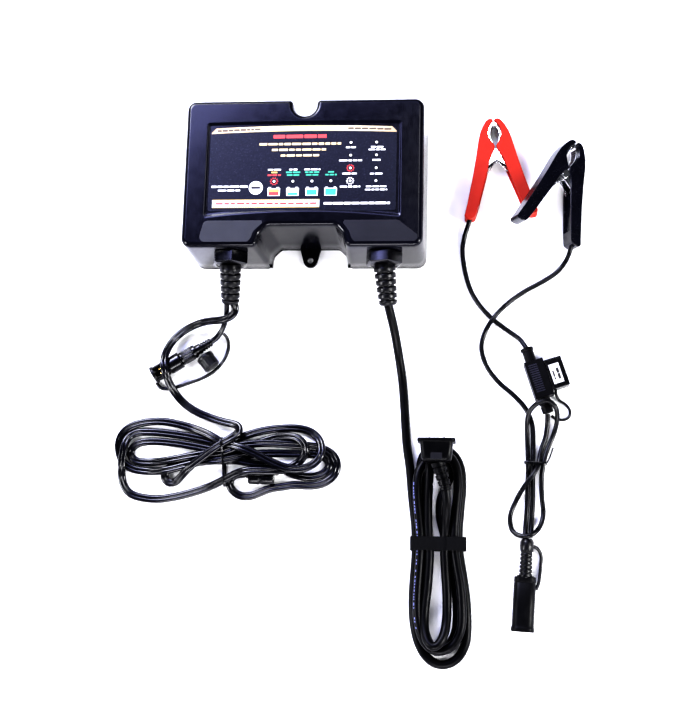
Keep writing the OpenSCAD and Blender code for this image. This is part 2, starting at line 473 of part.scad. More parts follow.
module red_fixed_lever() color([0.8, 0.81, 0.82]) red_frame() lever(-1, 5.4);
module red_moving_lever() color([0.8, 0.81, 0.82]) red_frame() lever(1, 4.1);
module red_fixed_grip() color([0.85, 0.15, 0.1]) red_frame() grip(-1);
module red_moving_grip() color([0.85, 0.15, 0.1]) red_frame() grip(1);
module black_fixed_lever() color([0.8, 0.81, 0.82]) black_frame() lever(1, 5.4);
module black_moving_lever() color([0.8, 0.81, 0.82]) black_frame() lever(-1, 4.1);
module black_fixed_grip() color([0.08, 0.08, 0.1]) black_frame() grip(1);
module black_moving_grip() color([0.08, 0.08, 0.1]) black_frame() grip(-1);
module pivot() { translate([0, 0, -6.5]) cylinder(r = pivot_r, h = 13); for (z = [-6.5, 5.5]) translate([0, 0, z]) cylinder(r = 3.2, h = 1); }
module clamp_pivots() color([0.82, 0.82, 0.84]) { red_frame() pivot(); black_frame() pivot(); }
// Coil on the pivot with one leg to each half
module spring() {
  translate([0, 0, -1.7]) difference() { cylinder(r = 4.2, h = 3.4); translate([0, 0, -1]) cylinder(r = pivot_r+0.15, h = 6); }
  for (s = [-1, 1]) translate([s*2.9, -1, s*0.8]) aim([0, 0, 0], [s*6.2, -15, 0]) cylinder(r = 0.8, h = 15.6);
}
module clamp_springs() color([0.7, 0.71, 0.73]) { red_frame() spring(); black_frame() spring(); }

front_cover();
rear_cover();
face_label();
side_pads();
test_button();
button_switch();
status_leds();
indicator_board();
circuit_board();
transformer_core();
transformer_winding();
heatsink();
power_transistors();
filter_capacitors();
filter_choke();
mains_fuse();
case_screws();
board_screws();
gland_nuts();
output_strain_relief();
input_strain_relief();
output_cord();
output_bundle();
output_tail();
output_tie();
output_connector();
pigtail_cord();
pigtail_body();
pigtail_ring();
pigtail_sleeve();
pigtail_cap();
pigtail_cap_strap();
connector_pins();
mains_cord();
mains_hank();
hank_strap();
mains_plug();
plug_blades();
red_wire();
positive_wire();
negative_wire();
lead_tie();
fuse_holder();
fuse_cap();
blade_fuse();
fuse_cap_strap();
fuse_label();
lead_connector();
lead_cap();
lead_cap_strap();
red_fixed_lever();
red_moving_lever();
red_fixed_grip();
red_moving_grip();
black_fixed_lever();
black_moving_lever();
black_fixed_grip();
black_moving_grip();
clamp_pivots();
clamp_springs();
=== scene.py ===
import json
import math
import random

import bmesh
import bpy
from mathutils import Matrix, Vector

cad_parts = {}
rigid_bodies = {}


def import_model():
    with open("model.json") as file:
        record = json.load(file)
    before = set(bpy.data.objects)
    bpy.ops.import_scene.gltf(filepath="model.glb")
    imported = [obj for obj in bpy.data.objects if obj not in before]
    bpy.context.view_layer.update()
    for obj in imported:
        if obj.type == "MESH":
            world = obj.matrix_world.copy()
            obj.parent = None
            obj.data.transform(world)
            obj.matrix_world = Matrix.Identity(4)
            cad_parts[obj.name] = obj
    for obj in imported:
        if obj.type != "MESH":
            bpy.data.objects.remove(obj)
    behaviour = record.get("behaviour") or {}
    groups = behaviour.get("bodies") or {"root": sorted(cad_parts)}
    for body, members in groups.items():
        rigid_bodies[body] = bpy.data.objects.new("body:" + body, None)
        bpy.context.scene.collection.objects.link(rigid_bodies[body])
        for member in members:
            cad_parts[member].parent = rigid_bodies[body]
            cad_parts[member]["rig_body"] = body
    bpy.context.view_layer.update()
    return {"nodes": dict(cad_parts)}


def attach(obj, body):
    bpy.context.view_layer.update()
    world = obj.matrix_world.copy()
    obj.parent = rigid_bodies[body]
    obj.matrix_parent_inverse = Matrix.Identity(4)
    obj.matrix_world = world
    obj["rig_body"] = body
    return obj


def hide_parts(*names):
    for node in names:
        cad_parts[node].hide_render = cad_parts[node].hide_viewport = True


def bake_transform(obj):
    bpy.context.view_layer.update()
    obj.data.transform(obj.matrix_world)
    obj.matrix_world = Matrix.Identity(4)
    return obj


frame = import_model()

NODES = frame["nodes"]
MM = 0.001
scene = bpy.context.scene
PI = math.pi

# ------------------------------------------------------------------ camera
cam_data = bpy.data.cameras.new("camera")
cam_data.sensor_width = 36.0
cam_data.lens = 63.83
cam_data.clip_start = 0.05
cam_data.clip_end = 20.0
cam_data.dof.use_dof = False
camera = bpy.data.objects.new("camera", cam_data)
scene.collection.objects.link(camera)
camera.location = (0.144571, -0.364059, 1.073861)
camera.rotation_mode = "XYZ"
camera.rotation_euler = (0.204488, 0.094596, 0.023949)
scene.camera = camera


# ------------------------------------------------------------------ materials
def new_material(name):
    m = bpy.data.materials.new(name)
    m.use_nodes = True
    nt = m.node_tree
    b = nt.nodes["Principled BSDF"]
    return m, nt, b


def noise(nt, scale, detail=3.0, rough=0.5, stretch=None, space="Object"):
    tc = nt.nodes.new("ShaderNodeTexCoord")
    n = nt.nodes.new("ShaderNodeTexNoise")
    n.inputs["Scale"].default_value = scale
    n.inputs["Detail"].default_value = detail
    n.inputs["Roughness"].default_value = rough
    if stretch:
        mp = nt.nodes.new("ShaderNodeMapping")
        mp.inputs["Scale"].default_value = stretch
        nt.links.new(tc.outputs[space], mp.inputs["Vector"])
        nt.links.new(mp.outputs["Vector"], n.inputs["Vector"])
    else:
        nt.links.new(tc.outputs[space], n.inputs["Vector"])
    return n


def ramp(nt, source, stops):
    r = nt.nodes.new("ShaderNodeValToRGB")
    el = r.color_ramp.elements
    el[0].position, el[0].color = stops[0][0], (*stops[0][1], 1)
    el[1].position, el[1].color = stops[1][0], (*stops[1][1], 1)
    for pos, col in stops[2:]:
        e = el.new(pos)
        e.color = (*col, 1)
    nt.links.new(source, r.inputs["Fac"])
    return r


def span(nt, source, a, b, lo=0.3, hi=0.7):
    r = nt.nodes.new("ShaderNodeMapRange")
    r.inputs["From Min"].default_value = lo
    r.inputs["From Max"].default_value = hi
    r.inputs["To Min"].default_value = a
    r.inputs["To Max"].default_value = b
    nt.links.new(source, r.inputs["Value"])
    return r


def bump(nt, b, source, strength, distance, before_normal=None):
    n = nt.nodes.new("ShaderNodeBump")
    n.inputs["Strength"].default_value = strength
    n.inputs["Distance"].default_value = distance
    nt.links.new(source, n.inputs["Height"])
    if before_normal is not None:
        nt.links.new(before_normal.outputs["Normal"], n.inputs["Normal"])
    nt.links.new(n.outputs["Normal"], b.inputs["Normal"])
    return n


def moulded(name, colour, rough=(0.2, 0.3), spread=0.12, grain=1400.0, relief=0.15, patch=60.0, coat=0.0, coat_rough=0.08,
            spec=0.5, metal=0.0, scratches=True):
    """Moulded or painted surface: slow colour drift, uneven gloss, fine grain and a few hairline scuffs."""
    m, nt, b = new_material(name)
    slow = noise(nt, patch, 4.0, 0.55)
    lo = [c * (1 - spread) for c in colour]
    hi = [min(1.0, c * (1 + spread)) for c in colour]
    col = ramp(nt, slow.outputs["Fac"], [(0.3, lo), (0.7, hi)])
    nt.links.new(col.outputs["Color"], b.inputs["Base Color"])
    gl = noise(nt, patch * 3.3, 5.0, 0.6)
    r = span(nt, gl.outputs["Fac"], rough[0], rough[1])
    nt.links.new(r.outputs["Result"], b.inputs["Roughness"])
    fine = noise(nt, grain, 2.0, 0.5)
    first = bump(nt, b, fine.outputs["Fac"], relief, 0.00005)
    if scratches:
        sc = noise(nt, 90.0, 6.0, 0.7, (1.0, 14.0, 1.0))
        k = span(nt, sc.outputs["Fac"], 0.0, 1.0, 0.62, 0.66)
        bump(nt, b, k.outputs["Result"], relief * 0.35, 0.00002, first)
    b.inputs["Specular IOR Level"].default_value = spec
    b.inputs["Metallic"].default_value = metal
    b.inputs["Coat Weight"].default_value = coat
    b.inputs["Coat Roughness"].default_value = coat_rough
    return m


def steel(name, colour, rough=(0.12, 0.3), stretch=(1.0, 22.0, 1.0), grain=260.0, relief=0.12, spread=0.08):
    """Rolled or plated metal with a drawn grain and dulled patches."""
    m, nt, b = new_material(name)
    dr = noise(nt, grain, 5.0, 0.65, stretch)
    lo = [c * (1 - spread) for c in colour]
    hi = [min(1.0, c * (1 + spread)) for c in colour]
    col = ramp(nt, dr.outputs["Fac"], [(0.25, lo), (0.75, hi)])
    nt.links.new(col.outputs["Color"], b.inputs["Base Color"])
    pt = noise(nt, 110.0, 4.0, 0.6)
    r = span(nt, pt.outputs["Fac"], rough[0], rough[1])
    nt.links.new(r.outputs["Result"], b.inputs["Roughness"])
    bump(nt, b, dr.outputs["Fac"], relief, 0.00004)
    b.inputs["Metallic"].default_value = 1.0
    return m


# the case: satin navy-black moulding, with a very fine spark texture
def case_material():
    m, nt, b = new_material("case_gloss")
    slow = noise(nt, 9.0, 3.0, 0.5)
    col = ramp(nt, slow.outputs["Fac"], [(0.3, (0.0045, 0.0045, 0.0075)), (0.7, (0.0062, 0.0062, 0.0115))])
    nt.links.new(col.outputs["Color"], b.inputs["Base Color"])
    gl = noise(nt, 150.0, 5.0, 0.6)
    r = span(nt, gl.outputs["Fac"], 0.15, 0.24)
    nt.links.new(r.outputs["Result"], b.inputs["Roughness"])
    fine = noise(nt, 2600.0, 2.0, 0.5)
    first = bump(nt, b, fine.outputs["Fac"], 0.16, 0.00003)
    sc = noise(nt, 70.0, 7.0, 0.7, (1.0, 16.0, 1.0))
    k = span(nt, sc.outputs["Fac"], 0.0, 1.0, 0.63, 0.66)
    bump(nt, b, k.outputs["Result"], 0.05, 0.00002, first)
    b.inputs["Specular IOR Level"].default_value = 0.30
    b.inputs["Coat Weight"].default_value = 0.04
    b.inputs["Coat Roughness"].default_value = 0.06
    return m


def label_material():
    """Printed film: navy ink with the pale fleck of its satin overlay."""
    m, nt, b = new_material("label_film")
    fl = noise(nt, 900.0, 3.0, 0.7)
    col = ramp(nt, fl.outputs["Fac"], [(0.35, (0.0045, 0.0050, 0.0105)), (0.62, (0.0090, 0.0100, 0.0220)), (0.72, (0.040, 0.043, 0.066))])
    nt.links.new(col.outputs["Color"], b.inputs["Base Color"])
    gl = noise(nt, 500.0, 3.0, 0.6)
    r = span(nt, gl.outputs["Fac"], 0.30, 0.40)
    b.inputs["Specular IOR Level"].default_value = 0.27
    nt.links.new(r.outputs["Result"], b.inputs["Roughness"])
    bump(nt, b, fl.outputs["Fac"], 0.1, 0.00003)
    return m


def strip_material():
    """The pale gold band across the label's top, fading to tan at its ends."""
    m, nt, b = new_material("label_gold")
    tc = nt.nodes.new("ShaderNodeTexCoord")
    sp = nt.nodes.new("ShaderNodeSeparateXYZ")
    nt.links.new(tc.outputs["Object"], sp.inputs["Vector"])
    r = span(nt, sp.outputs["X"], 0.0, 1.0, -0.081, 0.080)
    col = ramp(nt, r.outputs["Result"], [(0.0, (0.42, 0.31, 0.17)), (0.22, (0.56, 0.46, 0.28)), (0.42, (0.60, 0.55, 0.24)),
                                         (0.6, (0.62, 0.57, 0.24)), (0.78, (0.58, 0.52, 0.36)), (1.0, (0.44, 0.33, 0.18))])
    nt.links.new(col.outputs["Color"], b.inputs["Base Color"])
    gl = noise(nt, 700.0, 3.0, 0.6)
    rr = span(nt, gl.outputs["Fac"], 0.3, 0.42)
    nt.links.new(rr.outputs["Result"], b.inputs["Roughness"])
    return m


def ink(name, colour, painted_glow=0.0):
    m, nt, b = new_material(name)
    fl = noise(nt, 1200.0, 2.0, 0.6)
    lo = [c * 0.84 for c in colour]
    col = ramp(nt, fl.outputs["Fac"], [(0.35, lo), (0.6, colour)])
    nt.links.new(col.outputs["Color"], b.inputs["Base Color"])
    b.inputs["Roughness"].default_value = 0.42
    # printed ink gives no light of its own: this emission is a painted glow that brightens the print
    if painted_glow:
        b.inputs["Emission Color"].default_value = (*colour, 1)
        b.inputs["Emission Strength"].default_value = painted_glow
    return m


def webbing():
    m, nt, b = new_material("strap_weave")
    tc = nt.nodes.new("ShaderNodeTexCoord")
    w1 = nt.nodes.new("ShaderNodeTexWave")
    w1.bands_direction = "X"
    w1.inputs["Scale"].default_value = 420.0
    w1.inputs["Distortion"].default_value = 0.6
    w2 = nt.nodes.new("ShaderNodeTexWave")
    w2.bands_direction = "Y"
    w2.inputs["Scale"].default_value = 520.0
    w2.inputs["Distortion"].default_value = 0.6
    for w in (w1, w2):
        nt.links.new(tc.outputs["Object"], w.inputs["Vector"])
    mul = nt.nodes.new("ShaderNodeMath")
    mul.operation = "MULTIPLY"
    nt.links.new(w1.outputs["Fac"], mul.inputs[0])
    nt.links.new(w2.outputs["Fac"], mul.inputs[1])
    col = ramp(nt, mul.outputs["Value"], [(0.1, (0.0015, 0.0015, 0.002)), (0.8, (0.0075, 0.0075, 0.0095))])
    nt.links.new(col.outputs["Color"], b.inputs["Base Color"])
    bump(nt, b, mul.outputs["Value"], 0.6, 0.00012)
    b.inputs["Roughness"].default_value = 0.82
    b.inputs["Sheen Weight"].default_value = 0.04
    b.inputs["Specular IOR Level"].default_value = 0.2
    return m


M = {
    "case": case_material(),
    "label": label_material(),
    "gold": strip_material(),
    # the two pads share one grey finish; the left copy is painted lighter and the right copy darker, as painted light
    # and shade
    "pad_l": moulded("pad_left", (0.034, 0.035, 0.040), (0.38, 0.5), 0.10, 2400.0, 0.35, 50.0, 0.0, 0.1, 0.3),
    "pad_r": moulded("pad_right", (0.015, 0.015, 0.019), (0.38, 0.5), 0.10, 2400.0, 0.35, 50.0, 0.0, 0.1, 0.3),
    # the white, cream, red, amber and teal inks carry a painted glow on top of their printed colours
    "white": ink("ink_white_painted_glow", (0.78, 0.78, 0.77), 0.15),
    "cream": ink("ink_cream_painted_glow", (0.62, 0.50, 0.28), 0.1),
    "red": ink("ink_red_painted_glow", (0.55, 0.055, 0.05), 0.1),
    "amber": ink("ink_amber_painted_glow", (0.60, 0.42, 0.11), 0.05),
    "teal": ink("ink_teal_painted_glow", (0.045, 0.36, 0.23), 0.05),
    "grey": ink("ink_grey", (0.30, 0.30, 0.32)),
    "button": moulded("button_white", (0.80, 0.80, 0.78), (0.25, 0.36), 0.04, 1200.0, 0.1, 120.0),
    "led": moulded("led_lens", (0.88, 0.88, 0.86), (0.08, 0.16), 0.05, 1500.0, 0.08, 300.0, 0.6, 0.05),
    "black": moulded("black_plastic", (0.0036, 0.0036, 0.0050), (0.20, 0.32), 0.2, 1600.0, 0.18, 60.0, 0.1, 0.1, 0.4),
    "matt": moulded("black_matt", (0.0028, 0.0028, 0.0038), (0.36, 0.5), 0.2, 1300.0, 0.3, 60.0, 0.0, 0.1, 0.2),
    "dull": moulded("rim_dull", (0.0030, 0.0030, 0.0040), (0.6, 0.75), 0.2, 1300.0, 0.3, 60.0, 0.0, 0.1, 0.12),
    "rib": moulded("rib_grip", (0.020, 0.020, 0.034), (0.35, 0.5), 0.2, 1300.0, 0.3, 60.0, 0.0, 0.1, 0.4),
    "gland": moulded("gland_nylon", (0.0040, 0.0040, 0.0055), (0.16, 0.28), 0.2, 1100.0, 0.2, 70.0, 0.15, 0.1, 0.45),
    "rubber": moulded("boot_rubber", (0.0036, 0.0036, 0.0050), (0.28, 0.42), 0.2, 1500.0, 0.25, 80.0, 0.0, 0.1, 0.4),
    "cord": moulded("cord_pvc", (0.0035, 0.0035, 0.0060), (0.16, 0.26), 0.2, 1900.0, 0.2, 45.0, 0.1, 0.12, 0.5),
    "mains": moulded("mains_pvc", (0.0018, 0.0018, 0.0028), (0.32, 0.46), 0.2, 1700.0, 0.22, 45.0, 0.0, 0.1, 0.2),
    "wire": moulded("wire_pvc", (0.0032, 0.0032, 0.0046), (0.24, 0.36), 0.2, 1900.0, 0.2, 45.0, 0.0, 0.1, 0.35),
    "weave": webbing(),
    "grip_red": moulded("grip_red_vinyl", (0.35, 0.029, 0.016), (0.42, 0.55), 0.06, 900.0, 0.22, 70.0, 0.0, 0.1, 0.2),
    "grip_black": moulded("grip_black_vinyl", (0.0042, 0.0042, 0.0085), (0.18, 0.30), 0.2, 900.0, 0.2, 70.0, 0.2, 0.1, 0.5),
    "steel": steel("clamp_plate", (0.86, 0.87, 0.89), (0.10, 0.24)),
    "spring": steel("spring_wire", (0.78, 0.79, 0.82), (0.14, 0.26), (1, 1, 1), 500.0, 0.06),
    "pin": steel("pivot_steel", (0.84, 0.85, 0.87), (0.12, 0.22), (1, 1, 1), 400.0, 0.05),
    "nickel": steel("nickel_plate", (0.83, 0.82, 0.79), (0.14, 0.24), (1.0, 1.0, 12.0), 300.0, 0.08),
    "blade": steel("blade_plate", (0.93, 0.93, 0.92), (0.30, 0.42), (1.0, 12.0, 1.0), 300.0, 0.08, 0.04),
    "brass": steel("gold_pin", (0.86, 0.62, 0.24), (0.14, 0.26), (1, 1, 1), 500.0, 0.06),
    "zinc": steel("screw_zinc", (0.66, 0.67, 0.70), (0.25, 0.4), (1, 1, 1), 420.0, 0.15),
    "alu": steel("heatsink_alu", (0.70, 0.71, 0.73), (0.28, 0.42), (1.0, 1.0, 18.0), 300.0, 0.2),
    "board": moulded("board_mask", (0.012, 0.085, 0.035), (0.25, 0.4), 0.25, 700.0, 0.25, 90.0, 0.2, 0.1),
    "core": moulded("core_lacquer", (0.055, 0.055, 0.06), (0.35, 0.5), 0.25, 500.0, 0.4, 120.0),
    "winding": moulded("winding_tape", (0.55, 0.40, 0.05), (0.3, 0.42), 0.15, 400.0, 0.3, 140.0),
    "can": moulded("can_sleeve", (0.02, 0.025, 0.12), (0.22, 0.32), 0.15, 600.0, 0.15, 80.0, 0.2, 0.1),
    "choke": steel("choke_copper", (0.72, 0.34, 0.16), (0.25, 0.4), (1, 1, 14), 500.0, 0.5),
    "glass": moulded("fuse_glass", (0.66, 0.70, 0.70), (0.05, 0.12), 0.05, 900.0, 0.05, 100.0, 0.8, 0.03),
    "fuse": moulded("fuse_red", (0.55, 0.04, 0.025), (0.10, 0.2), 0.08, 900.0, 0.08, 100.0, 0.7, 0.05),
    "paper": moulded("label_paper", (0.46, 0.46, 0.455), (0.42, 0.55), 0.05, 1100.0, 0.25, 160.0),
}


M["blade"].node_tree.nodes["Principled BSDF"].inputs["Metallic"].default_value = 0.35


# ------------------------------------------------------------------ mesh helpers
def link(ob):
    scene.collection.objects.link(ob)
    return ob


def finish_piece(ob, body="charger", replaces=()):
    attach(ob, body)
    if replaces:
        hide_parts(*replaces)
    return ob


def shade(bm, degrees=32.0):
    bm.normal_update()
    for f in bm.faces:
        f.smooth = True
    lim = math.radians(degrees)
    for e in bm.edges:
        e.smooth = not (e.is_boundary or len(e.link_faces) != 2 or e.calc_face_angle(0.0) > lim)


def build(name, verts, faces, mat, body="charger", replaces=(), slot=None, angle=32.0, matrix=None, mats=None, flat=None,
          bevel=0.0, segs=2, weld=False):
    """A mesh piece from points in millimetres; matrix also works in millimetres."""
    me = bpy.data.meshes.new(name)
    pts = [Vector(v) for v in verts]
    if matrix is not None:
        pts = [matrix @ p for p in pts]
    me.from_pydata([p * MM for p in pts], [], [tuple(f) for f in faces])
    bm = bmesh.new()
    bm.from_mesh(me)
    if weld:
        bmesh.ops.remove_doubles(bm, verts=bm.verts, dist=2e-6)
    bmesh.ops.recalc_face_normals(bm, faces=bm.faces)
    shade(bm, angle)
    if flat:
        for f in bm.faces:
            if len(f.verts) > 4 or abs(f.normal.z) > 0.9999:
                f.smooth = False
    bm.to_mesh(me)
    bm.free()
    for k in (mats or [mat]):
        me.materials.append(k)
    ob = link(bpy.data.objects.new(name, me))
    if bevel:
        add_bevel(ob, bevel, segs)
    return finish_piece(ob, body, replaces)


def add_bevel(ob, width, segs=2, angle=35.0):
    b = ob.modifiers.new("edge", "BEVEL")
    b.width = width * MM
    b.segments = segs
    b.limit_method = "ANGLE"
    b.angle_limit = math.radians(angle)
    b.harden_normals = True
    b.use_clamp_overlap = True
    return b


def dressed(node, name, mat, width=0.3, segs=2, angle=35.0, limit=0.5):
    """The node's own shape with softened edges, standing in for the node."""
    src = NODES[node]
    me = bpy.data.meshes.new(name)
    bm = bmesh.new()
    bm.from_mesh(src.data)
    bmesh.ops.remove_doubles(bm, verts=bm.verts, dist=1.5e-6)
    bmesh.ops.dissolve_limit(bm, angle_limit=math.radians(limit), verts=bm.verts, edges=bm.edges)
    for layer in list(bm.loops.layers.uv):
        bm.loops.layers.uv.remove(layer)
    shade(bm, 30.0)
    bm.to_mesh(me)
    bm.free()
    for key in ("custom_normal",):
        if key in me.attributes:
            me.attributes.remove(me.attributes[key])
    me.materials.append(mat)
    ob = link(bpy.data.objects.new(name, me))
    if width:
        add_bevel(ob, width, segs, angle)
    return finish_piece(ob, src["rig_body"], (node,))


def paint(node, mat):
    me = NODES[node].data
    me.materials.clear()
    me.materials.append(mat)


def cat(points, step=2.0):
    """A smooth run through the points, about step millimetres between samples."""
    P = [Vector(p) for p in points]
    P = [P[0] * 2 - P[1]] + P + [P[-1] * 2 - P[-2]]
    out = []
    for i in range(1, len(P) - 2):
        p0, p1, p2, p3 = P[i - 1], P[i], P[i + 1], P[i + 2]
        t0 = 0.0
        t1 = t0 + max((p1 - p0).length, 1e-6) ** 0.5
        t2 = t1 + max((p2 - p1).length, 1e-6) ** 0.5
        t3 = t2 + max((p3 - p2).length, 1e-6) ** 0.5
        n = max(1, round((p2 - p1).length / step))
        for k in range(n):
            t = t1 + (t2 - t1) * k / n
            a1 = p0 * ((t1 - t) / (t1 - t0)) + p1 * ((t - t0) / (t1 - t0))
            a2 = p1 * ((t2 - t) / (t2 - t1)) + p2 * ((t - t1) / (t2 - t1))
            a3 = p2 * ((t3 - t) / (t3 - t2)) + p3 * ((t - t2) / (t3 - t2))
            b1 = a1 * ((t2 - t) / (t2 - t0)) + a2 * ((t - t0) / (t2 - t0))
            b2 = a2 * ((t3 - t) / (t3 - t1)) + a3 * ((t - t1) / (t3 - t1))
            out.append(b1 * ((t2 - t) / (t2 - t1)) + b2 * ((t - t1) / (t2 - t1)))
    out.append(P[-2].copy())
    return out


def relax(pts, rounds=2):
    for _ in range(rounds):
        q = [p.copy() for p in pts]
        for i in range(1, len(pts) - 1):
            q[i] = pts[i] * 0.5 + (pts[i - 1] + pts[i + 1]) * 0.25
        pts = q
    return pts


def run(pts):
    return sum((b - a).length for a, b in zip(pts, pts[1:]))


def frames(pts):
    """Tangent, side and up at every point, the side kept level wherever the run isn't upright."""
    out = []
    last = None
    for i, p in enumerate(pts):
        t = (pts[min(i + 1, len(pts) - 1)] - pts[max(i - 1, 0)]).normalized()
        s = t.cross(Vector((0, 0, 1)))
        if s.length < 0.15 and last is not None:
            s = last - t * last.dot(t)
        s.normalize()
        last = s
        out.append((t, s, s.cross(t)))
    return out


def swept(name, pts, section, mat, closed_ends=True, scale=None, **kw):
    """A tube along pts; section is a list of (side, up) in millimetres."""
    fr = frames(pts)
    n = len(section)
    verts, faces = [], []
    for i, (p, (t, s, u)) in enumerate(zip(pts, fr)):
        k = scale(i / (len(pts) - 1)) if scale else 1.0
        for a, b in section:
            verts.append(p + s * (a * k) + u * (b * k))
    for i in range(len(pts) - 1):
        for j in range(n):
            a, b = i * n + j, i * n + (j + 1) % n
            faces.append((a, b, b + n, a + n))
    if closed_ends:
        faces.append(tuple(range(n - 1, -1, -1)))
        faces.append(tuple((len(pts) - 1) * n + j for j in range(n)))
    return build(name, verts, faces, mat, **kw)


def round_curve(name, pts, r, mat, body="charger", replaces=(), sides=5):
    cu = bpy.data.curves.new(name, "CURVE")
    cu.dimensions = "3D"
    cu.bevel_depth = r * MM
    cu.bevel_resolution = sides
    cu.use_fill_caps = True
    sp = cu.splines.new("POLY")
    sp.points.add(len(pts) - 1)
    for q, p in zip(sp.points, pts):
        q.co = (p[0] * MM, p[1] * MM, p[2] * MM, 1.0)
    sp.use_smooth = True
    cu.materials.append(mat)
    ob = link(bpy.data.objects.new(name, cu))
    return finish_piece(ob, body, replaces)


def aim(at, v):
    v = Vector(v)
    return (Matrix.Translation(Vector(at)) @ Matrix.Rotation(math.atan2(v.y, v.x), 4, "Z")
            @ Matrix.Rotation(math.acos(max(-1, min(1, v.z / v.length))), 4, "Y"))


def rot(deg, axis):
    return Matrix.Rotation(math.radians(deg), 4, axis)


def lathe(profile, n=64, wave=None, skip=None):
    """Points and faces of a turned shape about Z; profile is (radius, z); wave(k, j) may add to a radius."""
    verts, faces = [], []
    rows = []
    for j, (r, z) in enumerate(profile):
        if r < 1e-6:
            rows.append([len(verts)])
            verts.append((0, 0, z))
            continue
        row = []
        for k in range(n):
            a = 2 * PI * k / n
            rr = r + (wave(k, j) if wave else 0.0)
            row.append(len(verts))
            verts.append((rr * math.cos(a), rr * math.sin(a), z))
        rows.append(row)
    for j in range(len(rows) - 1):
        a, b = rows[j], rows[j + 1]
        for k in range(n):
            if skip and skip(k, j):
                continue
            k2 = (k + 1) % n
            if len(a) == 1 and len(b) == 1:
                continue
            if len(a) == 1:
                faces.append((a[0], b[k], b[k2]))
            elif len(b) == 1:
                faces.append((a[k], b[0], a[k2]))
            else:
                faces.append((a[k], b[k], b[k2], a[k2]))
    return verts, faces


def soften(profile, r=0.35, n=3):
    """Rounds the corners of an open (radius, z) profile."""
    out = [profile[0]]
    for a, b, c in zip(profile, profile[1:], profile[2:]):
        A, B, C = Vector(a), Vector(b), Vector(c)
        u, v = A - B, C - B
        if u.length < 1e-6 or v.length < 1e-6:
            out.append(b)
            continue
        k = min(r, u.length * 0.45, v.length * 0.45)
        p, q = B + u.normalized() * k, B + v.normalized() * k
        for i in range(n + 1):
            t = i / n
            w = p * (1 - t) ** 2 + B * (2 * t * (1 - t)) + q * t ** 2
            out.append((w.x, w.y))
    out.append(profile[-1])
    return out


def join_mesh(parts):
    verts, faces = [], []
    for v, f in parts:
        k = len(verts)
        verts += [Vector(p) for p in v]
        faces += [tuple(i + k for i in q) for q in f]
    return verts, faces


def placed(part, m):
    return [m @ Vector(p) for p in part[0]], part[1]


def prism(outline, z0, z1):
    n = len(outline)
    verts = [(x, y, z0) for x, y in outline] + [(x, y, z1) for x, y in outline]
    faces = [tuple(range(n - 1, -1, -1)), tuple(range(n, 2 * n))]
    faces += [(k, (k + 1) % n, n + (k + 1) % n, n + k) for k in range(n)]
    return verts, faces


def corner_path(verts, radii, inset=0.0, n=5):
    """Closed outline with rounded corners, moved inward by inset. verts run anticlockwise."""
    V = [Vector(v) for v in verts]
    N = len(V)
    moved = []
    for i in range(N):
        a, b, c = V[i - 1], V[i], V[(i + 1) % N]
        d1, d2 = (b - a).normalized(), (c - b).normalized()
        n1, n2 = Vector((-d1.y, d1.x)), Vector((-d2.y, d2.x))
        k = 1.0 + n1.dot(n2)
        moved.append(b + (n1 + n2) * (inset / max(k, 0.2)))
    out = []
    for i in range(N):
        a, b, c = moved[i - 1], moved[i], moved[(i + 1) % N]
        d1, d2 = (b - a), (c - b)
        l1, l2 = d1.length, d2.length
        d1, d2 = d1 / l1, d2 / l2
        cr = d1.x * d2.y - d1.y * d2.x
        r = radii[i] - inset if cr > 0 else radii[i] + inset
        r = max(r, 0.05)
        ang = math.acos(max(-1, min(1, d1.dot(d2))))
        t = r * math.tan(ang / 2)
        t = min(t, l1 * 0.49 if radii[i] < 9 else l1 * 0.995, l2 * 0.49 if radii[i] < 9 else l2 * 0.995)
        r = t / max(math.tan(ang / 2), 1e-6)
        p = b - d1 * t
        side = 1 if cr > 0 else -1
        cen = p + Vector((-d1.y, d1.x)) * (side * r)
        a0 = math.atan2(p.y - cen.y, p.x - cen.x)
        for k in range(n + 1):
            w = a0 + side * ang * k / n
            out.append((cen.x + r * math.cos(w), cen.y + r * math.sin(w)))
    return out


def loft(rings):
    n = len(rings[0])
    verts = [p for r in rings for p in r]
    faces = []
    for i in range(len(rings) - 1):
        for k in range(n):
            a, b = i * n + k, i * n + (k + 1) % n
            faces.append((a, b, b + n, a + n))
    return verts, faces
